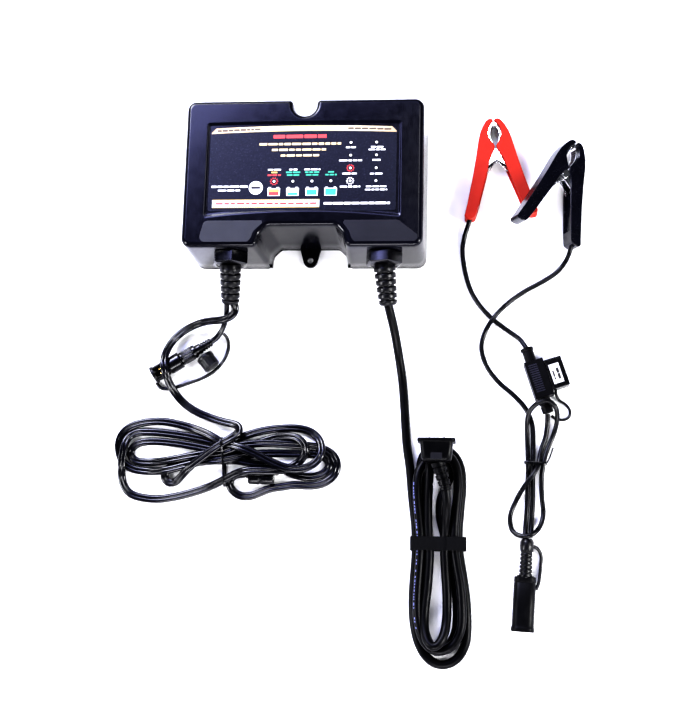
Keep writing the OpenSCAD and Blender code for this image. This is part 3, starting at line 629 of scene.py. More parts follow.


# ------------------------------------------------------------------ cords
# The routes of part.scad, in millimetres and in the same order; they are scaled to metres only when the pieces are
# built
output_route = [(-62.2, -106, 31.3), (-60.6, -110.2, 29.6), (-62.5, -114.8, 28), (-69.2, -118.5, 25.6),
                (-78.3, -118.9, 21), (-88.1, -118.2, 14.4), (-96.9, -119.1, 9.5), (-106, -122.2, 6.6),
                (-114, -127.2, 6), (-120.4, -134.6, 7.4), (-124, -143, 11), (-125.2, -151.5, 15.6),
                (-124.4, -159.4, 18), (-122.4, -167.4, 16.4), (-118.8, -177, 8.6), (-111, -187.6, 3),
                (-98.5, -196.5, 2.6), (-84, -202.5, 2.6), (-70, -206.8, 4.4)]
bundle_route = [
    # over the bundle and back under it
    (-61.5, -208.6, 6.0), (-57.2, -211.6, 8.0), (-57.0, -216.2, 10.2), (-62.5, -221.0, 12.0), (-72.6, -227.2, 12.7),
    (-86.0, -237.0, 12.3), (-98.6, -247.0, 11.2), (-107.0, -254.4, 5.6), (-112.4, -259.2, 2.8), (-117.4, -260.8, 2.4),
    (-121.6, -258.0, 2.3), (-122.6, -252.4, 2.3), (-119.0, -247.0, 2.3), (-111.0, -243.2, 2.3), (-100.7, -241.0, 2.3),
    (-86.5, -240.2, 2.5), (-70.6, -240.2, 3.4),
    # first turn on the right
    (-58.0, -240.0, 2.6), (-45.6, -242.0, 2.4), (-31.0, -243.0, 2.3), (-20.0, -245.8, 2.3), (-11.0, -250.6, 2.3),
    (3.8, -253.4, 2.3), (12.6, -252.2, 2.3), (19.2, -248.2, 2.3), (22.2, -242.7, 2.3), (19.3, -237.2, 2.3),
    (12.0, -234.4, 2.3), (-4.0, -233.4, 2.3), (-30.4, -233.4, 2.3), (-52.0, -235.2, 3.4), (-61.0, -238.0, 5.6),
    (-70.6, -240.4, 7.9),
    # outer turn on the left
    (-85.6, -241.2, 7.1), (-99.5, -244.2, 6.8), (-113.6, -248.0, 6.7), (-124.0, -250.0, 6.0), (-137.6, -250.3, 2.7),
    (-149.4, -248.9, 2.3), (-157.5, -245.2, 2.3), (-162.6, -239.2, 2.3), (-165.0, -231.6, 2.3), (-165.4, -224.8, 2.3),
    (-162.9, -217.7, 2.3), (-156.1, -211.4, 2.3), (-145.5, -207.7, 2.3), (-129.4, -206.1, 2.3), (-113.1, -208.3, 2.3),
    (-98.5, -212.2, 2.6), (-89.5, -215.6, 5.0), (-81.5, -219.4, 7.2), (-70.6, -225.4, 8.0),
    # upper turn on the right, its lower side over the others
    (-62.5, -227.2, 9.6), (-54.0, -229.8, 11.6), (-41.0, -235.0, 11.4), (-26.7, -242.0, 11.2), (-12.7, -246.9, 11.1),
    (-0.6, -247.1, 10.4), (9.8, -242.2, 8.8), (15.4, -234.0, 8.4), (15.2, -228.0, 7.0), (13.2, -221.8, 4.0),
    (6.1, -214.6, 2.4), (-4.6, -211.3, 2.3), (-22.2, -211.4, 2.3), (-39.8, -214.1, 2.3), (-57.2, -219.8, 2.8),
    (-70.6, -225.0, 3.5),
    # top of the band, then the big lower turn on the left
    (-87.3, -222.2, 2.5), (-101.8, -219.4, 2.3), (-119.8, -216.9, 2.3), (-137.8, -215.6, 2.3), (-149.8, -216.4, 2.3),
    (-155.6, -219.8, 3.8), (-158.2, -224.8, 6.0), (-159.0, -230.5, 6.9), (-160.0, -239.0, 6.9), (-160.4, -247.7, 6.4),
    (-160.4, -255.0, 3.6), (-158.7, -262.6, 2.3), (-152.6, -269.9, 2.3), (-141.6, -273.4, 2.3), (-127.3, -274.4, 2.3),
    (-111.5, -272.0, 2.3), (-95.8, -267.8, 2.3), (-82.0, -263.0, 3.0), (-72.0, -258.6, 6.0),
    # up over the connector and round the small inner turn on the right
    (-65.0, -255.4, 8.2), (-58.0, -252.2, 10.6), (-50.0, -250.0, 12.7), (-40.0, -249.4, 12.9), (-29.0, -249.6, 12.2),
    (-19.0, -248.6, 8.6), (-10.5, -245.2, 6.4), (-2.4, -239.6, 6.8), (1.7, -232.6, 8.8), (0.2, -225.6, 10.4),
    (-5.9, -220.4, 9.4), (-15.5, -218.6, 6.6), (-27.8, -220.2, 3.4), (-41.8, -224.4, 2.3), (-56.0, -229.0, 2.6),
    (-70.6, -232.6, 3.5),
    # the eye-shaped turn on the left
    (-86.4, -229.8, 2.6), (-101.3, -227.2, 2.3), (-119.4, -224.8, 2.3), (-137.3, -224.0, 2.3), (-147.6, -225.9, 2.3),
    (-153.4, -230.6, 2.3), (-154.2, -236.4, 2.3), (-149.6, -241.2, 2.3), (-136.2, -242.6, 2.5), (-119.5, -240.8, 5.4),
    (-99.9, -237.2, 6.8), (-85.8, -234.8, 7.1), (-70.6, -232.9, 7.9),
    # outermost turn on the right, then the tail
    (-56.1, -227.4, 7.2), (-43.0, -225.4, 6.8), (-29.8, -225.0, 6.7), (-12.0, -225.8, 6.5), (-3.6, -226.2, 5.6),
    (6.0, -226.8, 3.4), (15.4, -228.6, 2.3), (24.4, -233.2, 2.3), (29.0, -241.8, 2.3), (26.6, -251.3, 2.3),
    (18.2, -258.3, 2.3), (7.4, -260.9, 2.3), (-8.0, -260.6, 2.3), (-20.0, -262.4, 2.3), (-30.0, -264.2, 2.3),
    (-37.0, -267.0, 2.3), (-44.0, -270.2, 2.3), (-53.0, -271.0, 2.3), (-61.0, -267.0, 2.4), (-65.0, -259.6, 2.6),
    (-62.0, -253.6, 2.8), (-57.4, -251.8, 3.6), (-52.6, -251.6, 4.8)]
pigtail_route = [(-68.4, -106, 31.3), (-70, -113.5, 22), (-72.3, -119, 16), (-75.8, -125.3, 11), (-80.6, -131.4, 8.4),
                 (-85.3, -135.3, 7.7)]
cap_strap_route = [(-75, -127.6, 6.8), (-72, -131.6, 3.4), (-71, -139, 1.8), (-73, -147, 1.8), (-76.5, -154.5, 4),
                   (-82.5, -161, 4), (-91.4, -166, 1.8), (-102.5, -170.5, 1.8), (-114, -174.5, 1.8), (-124, -177, 1.8),
                   (-131, -175.6, 1.8), (-134.5, -171.5, 1.9)]
mains_route = [(72.8, -108.5, 35), (75.5, -119, 29.5), (77.8, -129, 22.5), (79.8, -140, 14.5), (81.8, -152, 8),
               (84, -167, 4.6), (86, -187, 4), (87.5, -208, 4), (89, -226, 4), (91.4, -241, 4.1)]
hank_route = [
    # down the left as the outside strand, round the bottom fold and up the right
    (93.0, -256, 3.9), (94.6, -272, 3.9), (97.4, -296, 3.9), (98.0, -316, 3.9), (96.8, -336, 3.9), (95.9, -356, 3.9),
    (97.0, -374, 3.9), (100.6, -389.5, 3.9), (107.2, -401.2, 3.9), (116.5, -407.4, 3.9), (126.4, -406.8, 3.9),
    (134.8, -400.8, 3.9), (140.0, -390.5, 3.9), (141.3, -376, 3.9), (140.0, -352, 3.9), (136.6, -330, 3.9),
    (134.0, -314, 3.9), (133.4, -298, 3.9), (134.8, -280, 3.9), (136.2, -262, 3.9), (135.4, -246, 3.9),
    (131.2, -235.2, 3.9), (123.4, -228.6, 3.9), (114.0, -226.8, 3.9), (105.4, -230.6, 3.9), (101.2, -240.0, 3.9),
    (101.8, -256, 3.9), (104.0, -280, 3.9), (106.0, -300, 3.9), (106.0, -316, 3.9), (105.6, -336, 3.9),
    # second turn, inside the first and squeezed together above the band
    (104.4, -356, 3.9), (104.4, -370, 3.9), (106.6, -383.0, 3.9), (111.2, -392.4, 3.9), (117.6, -396.0, 3.9),
    (124.8, -393.0, 3.9), (131.2, -383.4, 3.9), (133.0, -368, 3.9), (131.8, -350, 3.9), (128.6, -330, 3.9),
    (125.8, -314, 3.9), (121.2, -299, 3.9), (118.0, -284, 3.9), (118.8, -270, 3.9), (123.2, -259, 4.0),
    (126.4, -249.5, 4.2), (124.8, -241.0, 5.0), (118.6, -236.2, 6.0), (110.8, -236.4, 7.0), (104.0, -240.2, 8.2),
    (99.8, -248, 10.2),
    # third turn, on top of the first two
    (98.2, -258, 11.5), (99.4, -280, 11.7), (101.6, -300, 11.7), (101.8, -316, 11.7), (100.6, -336, 11.7),
    (99.6, -354, 11.7), (100.0, -368, 11.7), (102.4, -381.0, 11.7), (107.6, -391.6, 11.7), (115.0, -396.8, 11.7),
    (123.6, -395.6, 11.7), (131.4, -389.6, 11.7), (136.4, -378, 11.7), (137.0, -362, 11.7), (135.4, -342, 11.7),
    (132.4, -326, 11.7), (130.4, -312, 11.7), (130.2, -298, 11.7), (131.4, -280, 11.7), (133.0, -262, 11.7),
    (132.2, -247, 11.7), (127.6, -236.8, 11.9), (120.6, -232.2, 12.6), (113.6, -233.6, 14.0), (109.4, -241.4, 15.0),
    (108.6, -254, 13.6), (107.8, -272, 12.0),
    # last turn, inside on top, over the others at the fold, and up into the plug's tail
    (108.2, -298, 11.7), (109.6, -316, 11.7), (109.0, -332, 11.7), (107.8, -348, 11.7), (106.3, -362, 11.8),
    (105.8, -373, 12.6), (106.6, -382, 14.8), (109.0, -389.4, 17.6), (113.2, -393.8, 19.3), (118.0, -391.6, 19.2),
    (121.8, -385.0, 17.2), (123.8, -376.6, 14.4), (124.6, -366, 12.4), (124.4, -350, 11.8), (123.2, -332, 11.8),
    (122.2, -316, 11.7), (122.4, -303, 12.2), (123.0, -293, 14.9), (123.8, -283, 19.2), (124.2, -275, 22.6), (123.0, -264, 25.2)]
red_route = [(142.3, -21.4, 7.5), (141.2, -26.4, 7), (138.6, -33.6, 4.6), (136.6, -41.6, 2.4), (135.6, -50, 2.1),
             (137.6, -68, 2.1), (143, -87, 2.1), (152, -102, 2.1), (164, -114.5, 2.1),
             (176.5, -124, 2.1), (186, -131.5, 3.6), (191, -139.4, 6)]
negative_route = [(230.4, -49, 9.2), (228.8, -54.6, 8), (225.6, -61.6, 4.6), (218.6, -70.2, 2.1),
                  (206, -79, 2.1), (190, -88, 2.1), (176, -98.5, 3.4), (164, -111.5, 6.4), (156, -124, 3.4),
                  (152.5, -138, 2.1), (156.6, -154, 2.1), (167, -168.5, 2.1), (180.5, -180.5, 2.1),
                  (190.5, -192, 2.1), (196, -206, 2.1), (196.8, -222, 2.2), (196.4, -239, 3.4),
                  (196.2, -254, 2.1), (196, -272, 2.1), (195, -290, 2.1), (194, -301.5, 4)]
positive_route = [(208.9, -197.3, 6), (208.8, -205, 3.4), (207.3, -216, 2.1), (203.3, -228, 2.2),
                  (201.1, -239, 3.8), (198.1, -246.2, 7.4), (193, -253.6, 7.4), (187, -262, 5),
                  (181.6, -272, 2.1), (177, -285, 2.1), (179, -296.6, 3.4), (185.9, -300.8, 7.6),
                  (193.9, -300.1, 9), (201, -294.1, 5.4), (204.8, -283, 2.1), (203.8, -268, 2.1),
                  (203.6, -252, 2.1), (205.3, -239, 3.4), (208.2, -228, 2.3), (213.6, -215.5, 2.2),
                  (216.9, -202.2, 6.4), (215.3, -192.4, 13.4), (208.8, -187.1, 15.6), (200.7, -188.9, 15.4),
                  (193.8, -195.1, 10.6), (191.9, -200.5, 7.4), (191.5, -206.2, 4.2), (191.8, -222, 2.2),
                  (192.2, -239, 3.4), (191.9, -256, 2.1), (191.2, -276, 2.1), (190, -292, 2.1),
                  (189.4, -301.5, 4)]
fuse_strap_route = [(216.4, -180.2, 4), (219, -184.4, 2), (224.5, -188, 1.2), (228, -193, 1.2),
                    (227.4, -198.6, 1.2), (222.5, -201.4, 1.2), (216, -200.4, 1.2), (212.4, -197.8, 1.8)]
lead_strap_route = [(196.6, -309, 4.4), (200.4, -311.5, 3), (202.9, -317, 1.6), (202.4, -325, 1.6),
                    (201.6, -333, 2.2), (200.2, -340.5, 3.6)]

# twin lead: two cores side by side with a groove between them
half = [(1.42 + 2.12 * math.cos(math.radians(w)), 2.12 * math.sin(math.radians(w))) for w in (122, 98, 74, 50, 26, 0, -26, -50, -74, -98, -122)]
twin = [(0.0, 1.42)] + half + [(0.0, -1.42)] + [(-x, y) for x, y in reversed(half)]

out_pts = relax(cat(output_route + bundle_route, 2.2), 2)
output_lead = swept("output_lead", out_pts, twin, M["cord"], replaces=("output_cord", "output_bundle", "output_tail"),
                    slot="rubber", angle=60)
mains_pts = relax(cat(mains_route + hank_route, 2.6), 2)
mains_lead = round_curve("mains_lead", mains_pts, 3.85, M["mains"], replaces=("mains_cord", "mains_hank"), sides=6)
pig_pts = relax(cat(pigtail_route, 1.5), 1)
pigtail_lead = round_curve("pigtail_lead", pig_pts, 2.5, M["cord"], replaces=("pigtail_cord",))
red_pts = relax(cat(red_route, 1.8), 1)
red_lead = round_curve("red_clamp_lead", red_pts, 2.05, M["wire"], replaces=("red_wire",))
neg_pts = relax(cat(negative_route, 1.8), 1)
negative_lead = round_curve("negative_lead", neg_pts, 2.05, M["wire"], replaces=("negative_wire",))
pos_pts = relax(cat(positive_route, 1.8), 1)
positive_lead = round_curve("positive_lead", pos_pts, 2.05, M["wire"], replaces=("positive_wire",))
cst_pts = relax(cat(cap_strap_route, 1.5), 1)
fst_pts = relax(cat([(215.9, -174.8, 4.6)] + fuse_strap_route, 1.2), 1)
lst_pts = relax(cat(lead_strap_route + [(198.2, -344.6, 4.8)], 1.2), 1)


def strap(name, pts, r, cap, start, end, node):
    """A cap's strap, one end on what it hangs from and the other on the cap."""
    cu = round_curve(name + "_line", pts, r, M["rubber"])
    bpy.context.view_layer.update()
    me = bpy.data.meshes.new_from_object(cu.evaluated_get(bpy.context.evaluated_depsgraph_get()))
    me.name = name
    bpy.data.objects.remove(cu)
    ob = link(bpy.data.objects.new(name, me))
    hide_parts(node)
    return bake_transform(ob)


fuse_tether = strap("fuse_cap_tether", fst_pts, 1.2, "fuse_cap", (216, -198, 2), (216, -183, 2), "fuse_cap_strap")
lead_tether = strap("lead_cap_tether", lst_pts, 1.45, "lead_cap", (200, -312, 3), (200, -341, 3), "lead_cap_strap")
cap_tether = round_curve("pigtail_cap_tether", cst_pts, 1.45, M["rubber"], replaces=("pigtail_cap_strap",))

# ------------------------------------------------------------------ case
FACE_R = 4.0


def case_outline(z, inset=0.0):
    """Rounded rectangle with the hanging notch and the cord bay, at height z."""
    g = 1.0 - z / 70.0
    w, d = 103.0 + g, 65.8 + g
    t = max(0.0, min(1.0, z / 70.0))
    lerp = lambda a, b: a + (b - a) * t
    bx0, bx1, bx2 = lerp(34.2, 39.0), lerp(33.0, 35.8), lerp(26.0, 29.5)
    by1, by2 = lerp(-56.6, -54.6), lerp(-49.5, -47.4)
    V = [(-w, -d), (-bx0, -d), (-bx1, by1), (-bx2, by2), (bx2, by2), (bx1, by1), (bx0, -d), (w, -d), (w, d),
         (10.4, d), (10.4, 51.4), (-10.4, 51.4), (-10.4, d), (-w, d)]
    R = [8 + g, 5.0, 9.0, 6.5, 6.5, 9.0, 5.0, 8 + g, 8 + g, 3.4, 10.39, 10.39, 3.4, 8 + g]
    return corner_path(V, R, inset, 7)


def pocket_outline(inset=0.0):
    n = 24
    x, top = 84.5, 45.5
    pts = []
    for k in range(n + 1):
        u = -1 + 2 * k / n
        pts.append(((x - inset) * u * 0.985, -41.0 + 5.2 * (1 - u * u) + inset * 1.6))
    pts.append((x - inset * 0.6 - 0.2, -39.4 + inset))
    pts += [(x - inset, -37.0 + inset), (x - inset, top - 1.6 - inset * 0.8), (x - inset - 1.2, top - 0.4 - inset * 0.8)]
    for k in range(n + 1):
        u = 1 - 2 * k / n
        pts.append(((x - 2.4 - inset) * u, top + 0.6 * (1 - u * u) - inset))
    pts += [(-(x - inset - 1.2), top - 0.4 - inset * 0.8), (-(x - inset), top - 1.6 - inset * 0.8), (-(x - inset), -37.0 + inset)]
    pts.append((-(x - inset * 0.6 - 0.2), -39.4 + inset))
    return pts


def front_cover():
    rings = []
    zs = [3.2, 4.0, 20.0, 36.0, 52.0, 62.0, 66.0]
    for z in zs:
        rings.append([(x, y, z) for x, y in case_outline(z, 0.35 if z == 3.2 else 0.0)])
    for k in range(1, 9):
        a = PI / 2 * k / 8
        z = 66.0 + FACE_R * math.sin(a)
        rings.append([(x, y, z) for x, y in case_outline(66.0, FACE_R * (1 - math.cos(a)))])
    verts, faces = loft(rings)
    n = len(rings[0])
    top0 = len(verts) - n
    me = bpy.data.meshes.new("case_front")
    bm = bmesh.new()
    bv = [bm.verts.new(Vector(v) * MM) for v in verts]
    for f in faces:
        bm.faces.new([bv[i] for i in f])
    # pocket rings
    steps = [(0.0, 0.0), (0.5, -0.07), (1.1, -0.3), (1.7, -0.6), (2.3, -0.76), (2.8, -0.8)]
    prings = []
    for i, dz in steps:
        prings.append([bm.verts.new(Vector((x, y, 70.0 + dz)) * MM) for x, y in pocket_outline(i)])
    m = len(prings[0])
    for a, b in zip(prings, prings[1:]):
        for k in range(m):
            bm.faces.new((a[k], a[(k + 1) % m], b[(k + 1) % m], b[k]))
    floor = bm.faces.new(prings[-1])
    bm.verts.ensure_lookup_table()
    bm.edges.ensure_lookup_table()

    def edge(a, b):
        e = bm.edges.get((a, b))
        return e or bm.edges.new((a, b))

    ring_e = [edge(bv[top0 + k], bv[top0 + (k + 1) % n]) for k in range(n)]
    ring_e += [edge(prings[0][k], prings[0][(k + 1) % m]) for k in range(m)]
    old = set(bm.faces)
    bmesh.ops.triangle_fill(bm, use_beauty=True, use_dissolve=False, edges=ring_e, normal=(0, 0, 1))
    new = [f for f in bm.faces if f not in old]
    bm.normal_update()
    # inside walls, so that the open back shows a thickness
    inner = []
    for z, i in ((3.2, 2.6), (66.8, 2.6)):
        inner.append([bm.verts.new(Vector((x, y, z)) * MM) for x, y in case_outline(z, i)])
    for k in range(n):
        bm.faces.new((inner[0][k], inner[1][k], inner[1][(k + 1) % n], inner[0][(k + 1) % n]))
        bm.faces.new((bv[k], inner[0][k], inner[0][(k + 1) % n], bv[(k + 1) % n]))
    bm.faces.new(inner[1])
    bmesh.ops.recalc_face_normals(bm, faces=bm.faces)
    shade(bm, 30.0)
    for f in new + [floor]:
        if f.is_valid:
            f.smooth = False
    bm.to_mesh(me)
    bm.free()
    me.materials.append(M["case"])
    ob = link(bpy.data.objects.new("case_front", me))
    return finish_piece(ob, "charger", ("front_cover",))


front_cover()
dressed("rear_cover", "case_back", M["black"], 0.25, 2)

# the rim that shows below the parting line
rim = [[(x, y, z) for x, y in case_outline(z, i)] for z, i in
       ((0.5, 1.8), (0.12, 1.4), (0.12, 0.75), (0.5, 0.3), (2.5, 0.15), (3.0, 0.5), (3.0, 2.4), (0.5, 2.4))]
v, f = loft(rim)
build("case_back_rim", v, f, M["dull"], slot="case", angle=40)

# rubbery pads on the two legs, one grey finish: the left pad painted lighter as if lit from the left, the right pad
# painted darker as shade
pad_l = corner_path([(-84.6, -62), (-45.4, -62), (-42.6, -59), (-40.6, -52.6), (-33, -45.4), (-33.8, -43.2), (-83.4, -43.2), (-87.2, -58.2)],
                    [4, 3, 6, 8, 1.2, 0.8, 4.5, 5], 0, 6)
pad_r = corner_path([(45.4, -62), (96.4, -62), (98.8, -59.8), (98.6, -56.2), (82.4, -43.2), (37, -43.2), (35.6, -45.6), (41, -52.8), (43, -59)],
                    [3, 2.5, 1.5, 2.5, 6, 1.0, 1.5, 8, 5], 0, 6)
ra, rb = [(x, y, 70.02) for x, y in pad_l], [(x, y, 70.2) for x, y in pad_l]
vl, fl = loft([ra, rb, [(x, y, 70.25) for x, y in corner_path([(-84.6, -62), (-45.4, -62), (-42.6, -59), (-40.6, -52.6), (-33, -45.4), (-33.8, -43.2), (-83.4, -43.2), (-87.2, -58.2)], [4, 3, 6, 8, 1.2, 0.8, 4.5, 5], 0.25, 6)]])
n = len(pad_l)
fl = fl + [tuple(range(2 * n, 3 * n))]
pads = build("pad_left", vl, fl, M["pad_l"], slot="pads", replaces=("side_pads",), angle=30, flat=True)
vr, fr_ = loft([[(x, y, 70.02) for x, y in pad_r], [(x, y, 70.2) for x, y in pad_r],
                [(x, y, 70.25) for x, y in corner_path([(45.4, -62), (96.4, -62), (98.8, -59.8), (98.6, -56.2), (82.4, -43.2), (37, -43.2), (35.6, -45.6), (41, -52.8), (43, -59)], [3, 2.5, 1.5, 2.5, 6, 1.0, 1.5, 8, 5], 0.25, 6)]])
n = len(pad_r)
fr_ = fr_ + [tuple(range(2 * n, 3 * n))]
build("pad_right", vr, fr_, M["pad_r"], slot="pads", angle=30, flat=True)


# ------------------------------------------------------------------ label and its print
def label_edge(inset=0.0):
    pts = []
    n = 20
    L, R_, T, B = -81 + inset, 80 - inset, 40.0, -34.6
    for k in range(n + 1):
        u = k / n
        x = L + 1.4 + (R_ - L - 2.8) * u
        s = 2 * u - 1
        pts.append((x, B - 0.7 * (1 - s * s) + inset))
    pts += [(R_ - 0.4, B + 0.4 + inset), (R_, B + 1.6 + inset), (R_, T - 3.6), (R_ - 0.8, T - 1.4 - inset)]
    for k in range(n + 1):
        u = 1 - k / n
        x = L + 3.0 + (R_ - L - 6.0) * u
        s = 2 * u - 1
        pts.append((x, T + 1.9 * (1 - s * s) - inset))
    pts += [(L + 0.8, T - 1.4 - inset), (L, T - 3.6), (L, B + 1.6 + inset), (L + 0.4, B + 0.4 + inset)]
    return pts


le = label_edge()
v, f = loft([[(x, y, 69.21) for x, y in le], [(x, y, 69.5) for x, y in le], [(x, y, 69.55) for x, y in label_edge(0.08)]])
f.append(tuple(range(2 * len(le), 3 * len(le))))
build("face_film", v, f, M["label"], replaces=("face_label",), slot="label", angle=30, flat=True)

INK_Z = 69.6
prints = {}


def add_face(colour, pts, dz=0.0):
    v, f = prints.setdefault(colour, ([], []))
    k = len(v)
    v += [(x, y, INK_Z + dz) for x, y in pts]
    f.append(tuple(range(k, k + len(pts))))


def bar(colour, x0, x1, y, h, dz=0.0):
    r = min(h * 0.28, 0.3)
    add_face(colour, [(x0 + r, y - h / 2), (x1 - r, y - h / 2), (x1, y - h / 2 + r), (x1, y + h / 2 - r), (x1 - r, y + h / 2),
                      (x0 + r, y + h / 2), (x0, y + h / 2 - r), (x0, y - h / 2 + r)], dz)


def words(colour, x0, x1, y, h, seed, dz=0.0, gap=None):
    """A caption stood in for by plain bars of different lengths."""
    rnd = random.Random(seed)
    gap = gap or h * 0.42
    x = x0
    while x < x1 - 0.4:
        w = h * rnd.uniform(1.7, 4.4)
        e = min(x + w, x1)
        if x1 - e < h * 1.2:
            e = x1
        bar(colour, x, e, y, h * rnd.uniform(0.86, 1.0), dz)
        x = e + gap


def disc(colour, x, y, r, dz=0.0, n=24):
    add_face(colour, [(x + r * math.cos(2 * PI * k / n), y + r * math.sin(2 * PI * k / n)) for k in range(n)], dz)


def ringlet(colour, x, y, r0, r1, dz=0.0, n=28):
    for k in range(n):
        a, b = 2 * PI * k / n, 2 * PI * (k + 1) / n
        add_face(colour, [(x + r0 * math.cos(a), y + r0 * math.sin(a)), (x + r1 * math.cos(a), y + r1 * math.sin(a)),
                          (x + r1 * math.cos(b), y + r1 * math.sin(b)), (x + r0 * math.cos(b), y + r0 * math.sin(b))], dz)


# gold strip along the top
n = 40
top, bot = [], []
for k in range(n + 1):
    u = k / n
    x = -80.4 + 160.1 * u
    s = 2 * u - 1
    e = min(u, 1 - u) * 160.1
    yt = 40.0 + 1.9 * (1 - s * s) - (max(0.0, 3.2 - e) / 3.2) ** 1.7 * 3.9
    yb = 35.2 + 1.9 * (1 - s * s) - 0.15
    top.append((x, max(yt, yb + 0.02)))
    bot.append((x, yb))
for k in range(n):
    add_face("gold", [bot[k], bot[k + 1], top[k + 1], top[k]], 0.0)
for x0, x1, seed in ((-75.2, -37.8, 3), (38.0, 76.2, 5)):
    rnd = random.Random(seed)
    x = x0
    while x < x1 - 1:
        w = rnd.uniform(2.6, 6.4)
        e = min(x + w, x1)
        u = ((x + e) / 2 + 80.4) / 160.1
        s = 2 * u - 1
        y = 37.55 + 1.9 * (1 - s * s) - 0.1
        bar("grey_ink", x, e, y, 1.75, 0.03)
        x = e + 0.7

# title bars
words("red", -26.3, 19.7, 32.0, 3.5, 11, gap=0.9)
words("cream", -38.3, 32.4, 25.2, 2.3, 12, gap=0.9)
words("cream", -27.3, 19.6, 20.0, 2.2, 13, gap=0.9)
words("cream", -19.5, 13.8, 14.8, 2.1, 14, gap=0.9)

# captions and rings round the lights
for y, kind in ((26, 0), (14.5, 0), (3, 1), (-8.5, 2)):
    if kind:
        c = ("red", "white")[kind - 1]
        ringlet(c, 40.8, y, 2.35, 2.75)
        for k in range(10):
            a = 2 * PI * k / 10
            disc(c, 40.8 + 3.15 * math.cos(a), y + 3.15 * math.sin(a), 0.42, 0.01, 8)
words("white", 36.6, 45.0, 21.6, 1.7, 21)
words("white", 31.0, 50.6, 9.8, 1.7, 22)
words("white", 34.0, 46.4, -2.0, 1.7, 23)
words("white", 32.2, 49.6, -13.6, 1.7, 24)
words("white", 58.0, 68.6, 21.8, 1.5, 25)
words("white", 56.0, 70.4, 19.4, 1.5, 26)
words("white", 59.4, 66.4, 10.0, 1.7, 27)
words("white", 57.6, 68.2, -2.2, 1.7, 28)
words("white", 54.4, 71.8, -13.6, 1.5, 29)
words("white", 53.6, 72.6, -16.4, 1.5, 30)

# three-line captions over the row of lights
for x, cols, half in ((-24.4, ("white", "amber", "red"), (5.6, 2.6, 5.8)), (-8.2, ("white", "teal", "teal"), (3.6, 6.2, 5.4)),
                      (8.2, ("white", "teal", "teal"), (7.0, 6.2, 5.4)), (24.4, (None, "teal", "teal"), (0, 2.6, 5.0))):
    for j, c in enumerate(cols):
        if c:
            words(c, x - half[j], x + half[j], 2.1 - 2.45 * j, 1.6, 40 + j + int(x))
ringlet("red", -24.4, -8.3, 2.4, 2.85)
for k in range(10):
    a = 2 * PI * k / 10
    disc("red", -24.4 + 3.3 * math.cos(a), -8.3 + 3.3 * math.sin(a), 0.42, 0.01, 8)

# battery pictograms
for x, kind in ((-24.4, 0), (-8.2, 1), (8.2, 2), (24.4, 3)):
    y = -17.4
    add_face("white", [(x - 5.2, y - 4), (x + 5.2, y - 4), (x + 5.5, y + 2.9), (x + 4.6, y + 2.9), (x + 4.6, y + 3.9), (x + 2.4, y + 3.9),
                       (x + 2.4, y + 2.9), (x - 2.4, y + 2.9), (x - 2.4, y + 3.9), (x - 4.6, y + 3.9), (x - 4.6, y + 2.9), (x - 5.5, y + 2.9)])
    if kind == 0:
        bar("amber", x - 4.6, x + 4.6, y + 0.9, 2.6, 0.03)
        bar("red", x - 4.4, x + 4.4, y - 1.9, 3.2, 0.03)
    elif kind == 1:
        bar("teal", x - 4.4, x + 4.4, y - 2.3, 2.2, 0.03)
        bar("pale", x - 4.5, x + 4.5, y + 0.9, 2.6, 0.02)
    elif kind == 2:
        bar("teal", x - 4.4, x + 4.4, y - 1.0, 4.6, 0.03)
    else:
        bar("teal", x - 4.6, x + 4.6, y - 0.6, 5.8, 0.03)

# beside the button, the framed strip and the long caption
words("white", -78.5, -47.0, -12.8, 2.0, 51, gap=0.7)
words("white", -72.7, -53.4, -16.2, 1.7, 52)
add_face("white", [(-77.2, -31.6), (15, -31.2), (15, -24.4), (-77.2, -24.7)])
for k in range(46):
    x = -76.8 + k * 2.0
    for yy, up in ((-25.0, 1), (-31.3, -1)):
        add_face("amber", [(x, yy + 0.5 * up), (x + 1.0, yy - 1.15 * up), (x + 2.0, yy + 0.5 * up)], 0.03)
rnd = random.Random(77)
x = -74.5
while x < 12.6:
    e = min(x + rnd.uniform(3.0, 7.6), 12.8)
    bar("red", x, e, -28.1, 1.7, 0.03)
    x = e + 1.1
words("white", 18.8, 75.1, -28.3, 2.3, 61, gap=0.6)

M["grey_ink"] = ink("ink_dark", (0.10, 0.075, 0.05))
M["pale"] = ink("ink_pale", (0.55, 0.72, 0.74))
for colour, (v, f) in prints.items():
    build("print_" + colour, v, f, M[colour], slot="label")

# ------------------------------------------------------------------ button and lights
v, f = lathe(soften([(0, 70.12), (3.0, 70.14), (5.3, 70.2), (5.9, 70.1), (6.1, 69.6), (6.1, 67.0), (8.0, 67.0), (8.0, 65.9), (0, 65.9)], 0.25), 56)
build("button_cap", v, f, M["button"], body="test_button", replaces=("test_button",), slot="button",
      matrix=Matrix.Translation((-39.9, -14.1, 0)), angle=40)
v, f = [], []
prints = {}
words("grey", -3.9, 3.9, 0.0, 2.3, 71, gap=0.5)
v, f = prints["grey"]
v = [(x, y, 70.27) for x, y, z in v]
M["mark"] = ink("ink_mark", (0.024, 0.022, 0.024))
build("button_mark", v, f, M["mark"], body="test_button", slot="button", matrix=Matrix.Translation((-39.9, -14.1, 0)))
parts = []
for x, y in [(40.8, yy) for yy in (26, 14.5, 3, -8.5)] + [(62.8, yy) for yy in (26, 14.5, 3, -8.5)] + [(xx, -8.3) for xx in (-24.4, -8.2, 8.2, 24.4)]:
    prof = [(1.5, 61.7), (1.5, 69.2)] + [(1.5 * math.cos(a), 69.2 + 0.55 * math.sin(a)) for a in (0.3, 0.6, 0.9, 1.2)] + [(0, 69.75)]
    parts.append(placed(lathe(prof, 20), Matrix.Translation((x, y, 0))))
v, f = join_mesh(parts)
build("status_lights", v, f, M["led"], replaces=("status_leds",), slot="led", angle=50)
parts = []
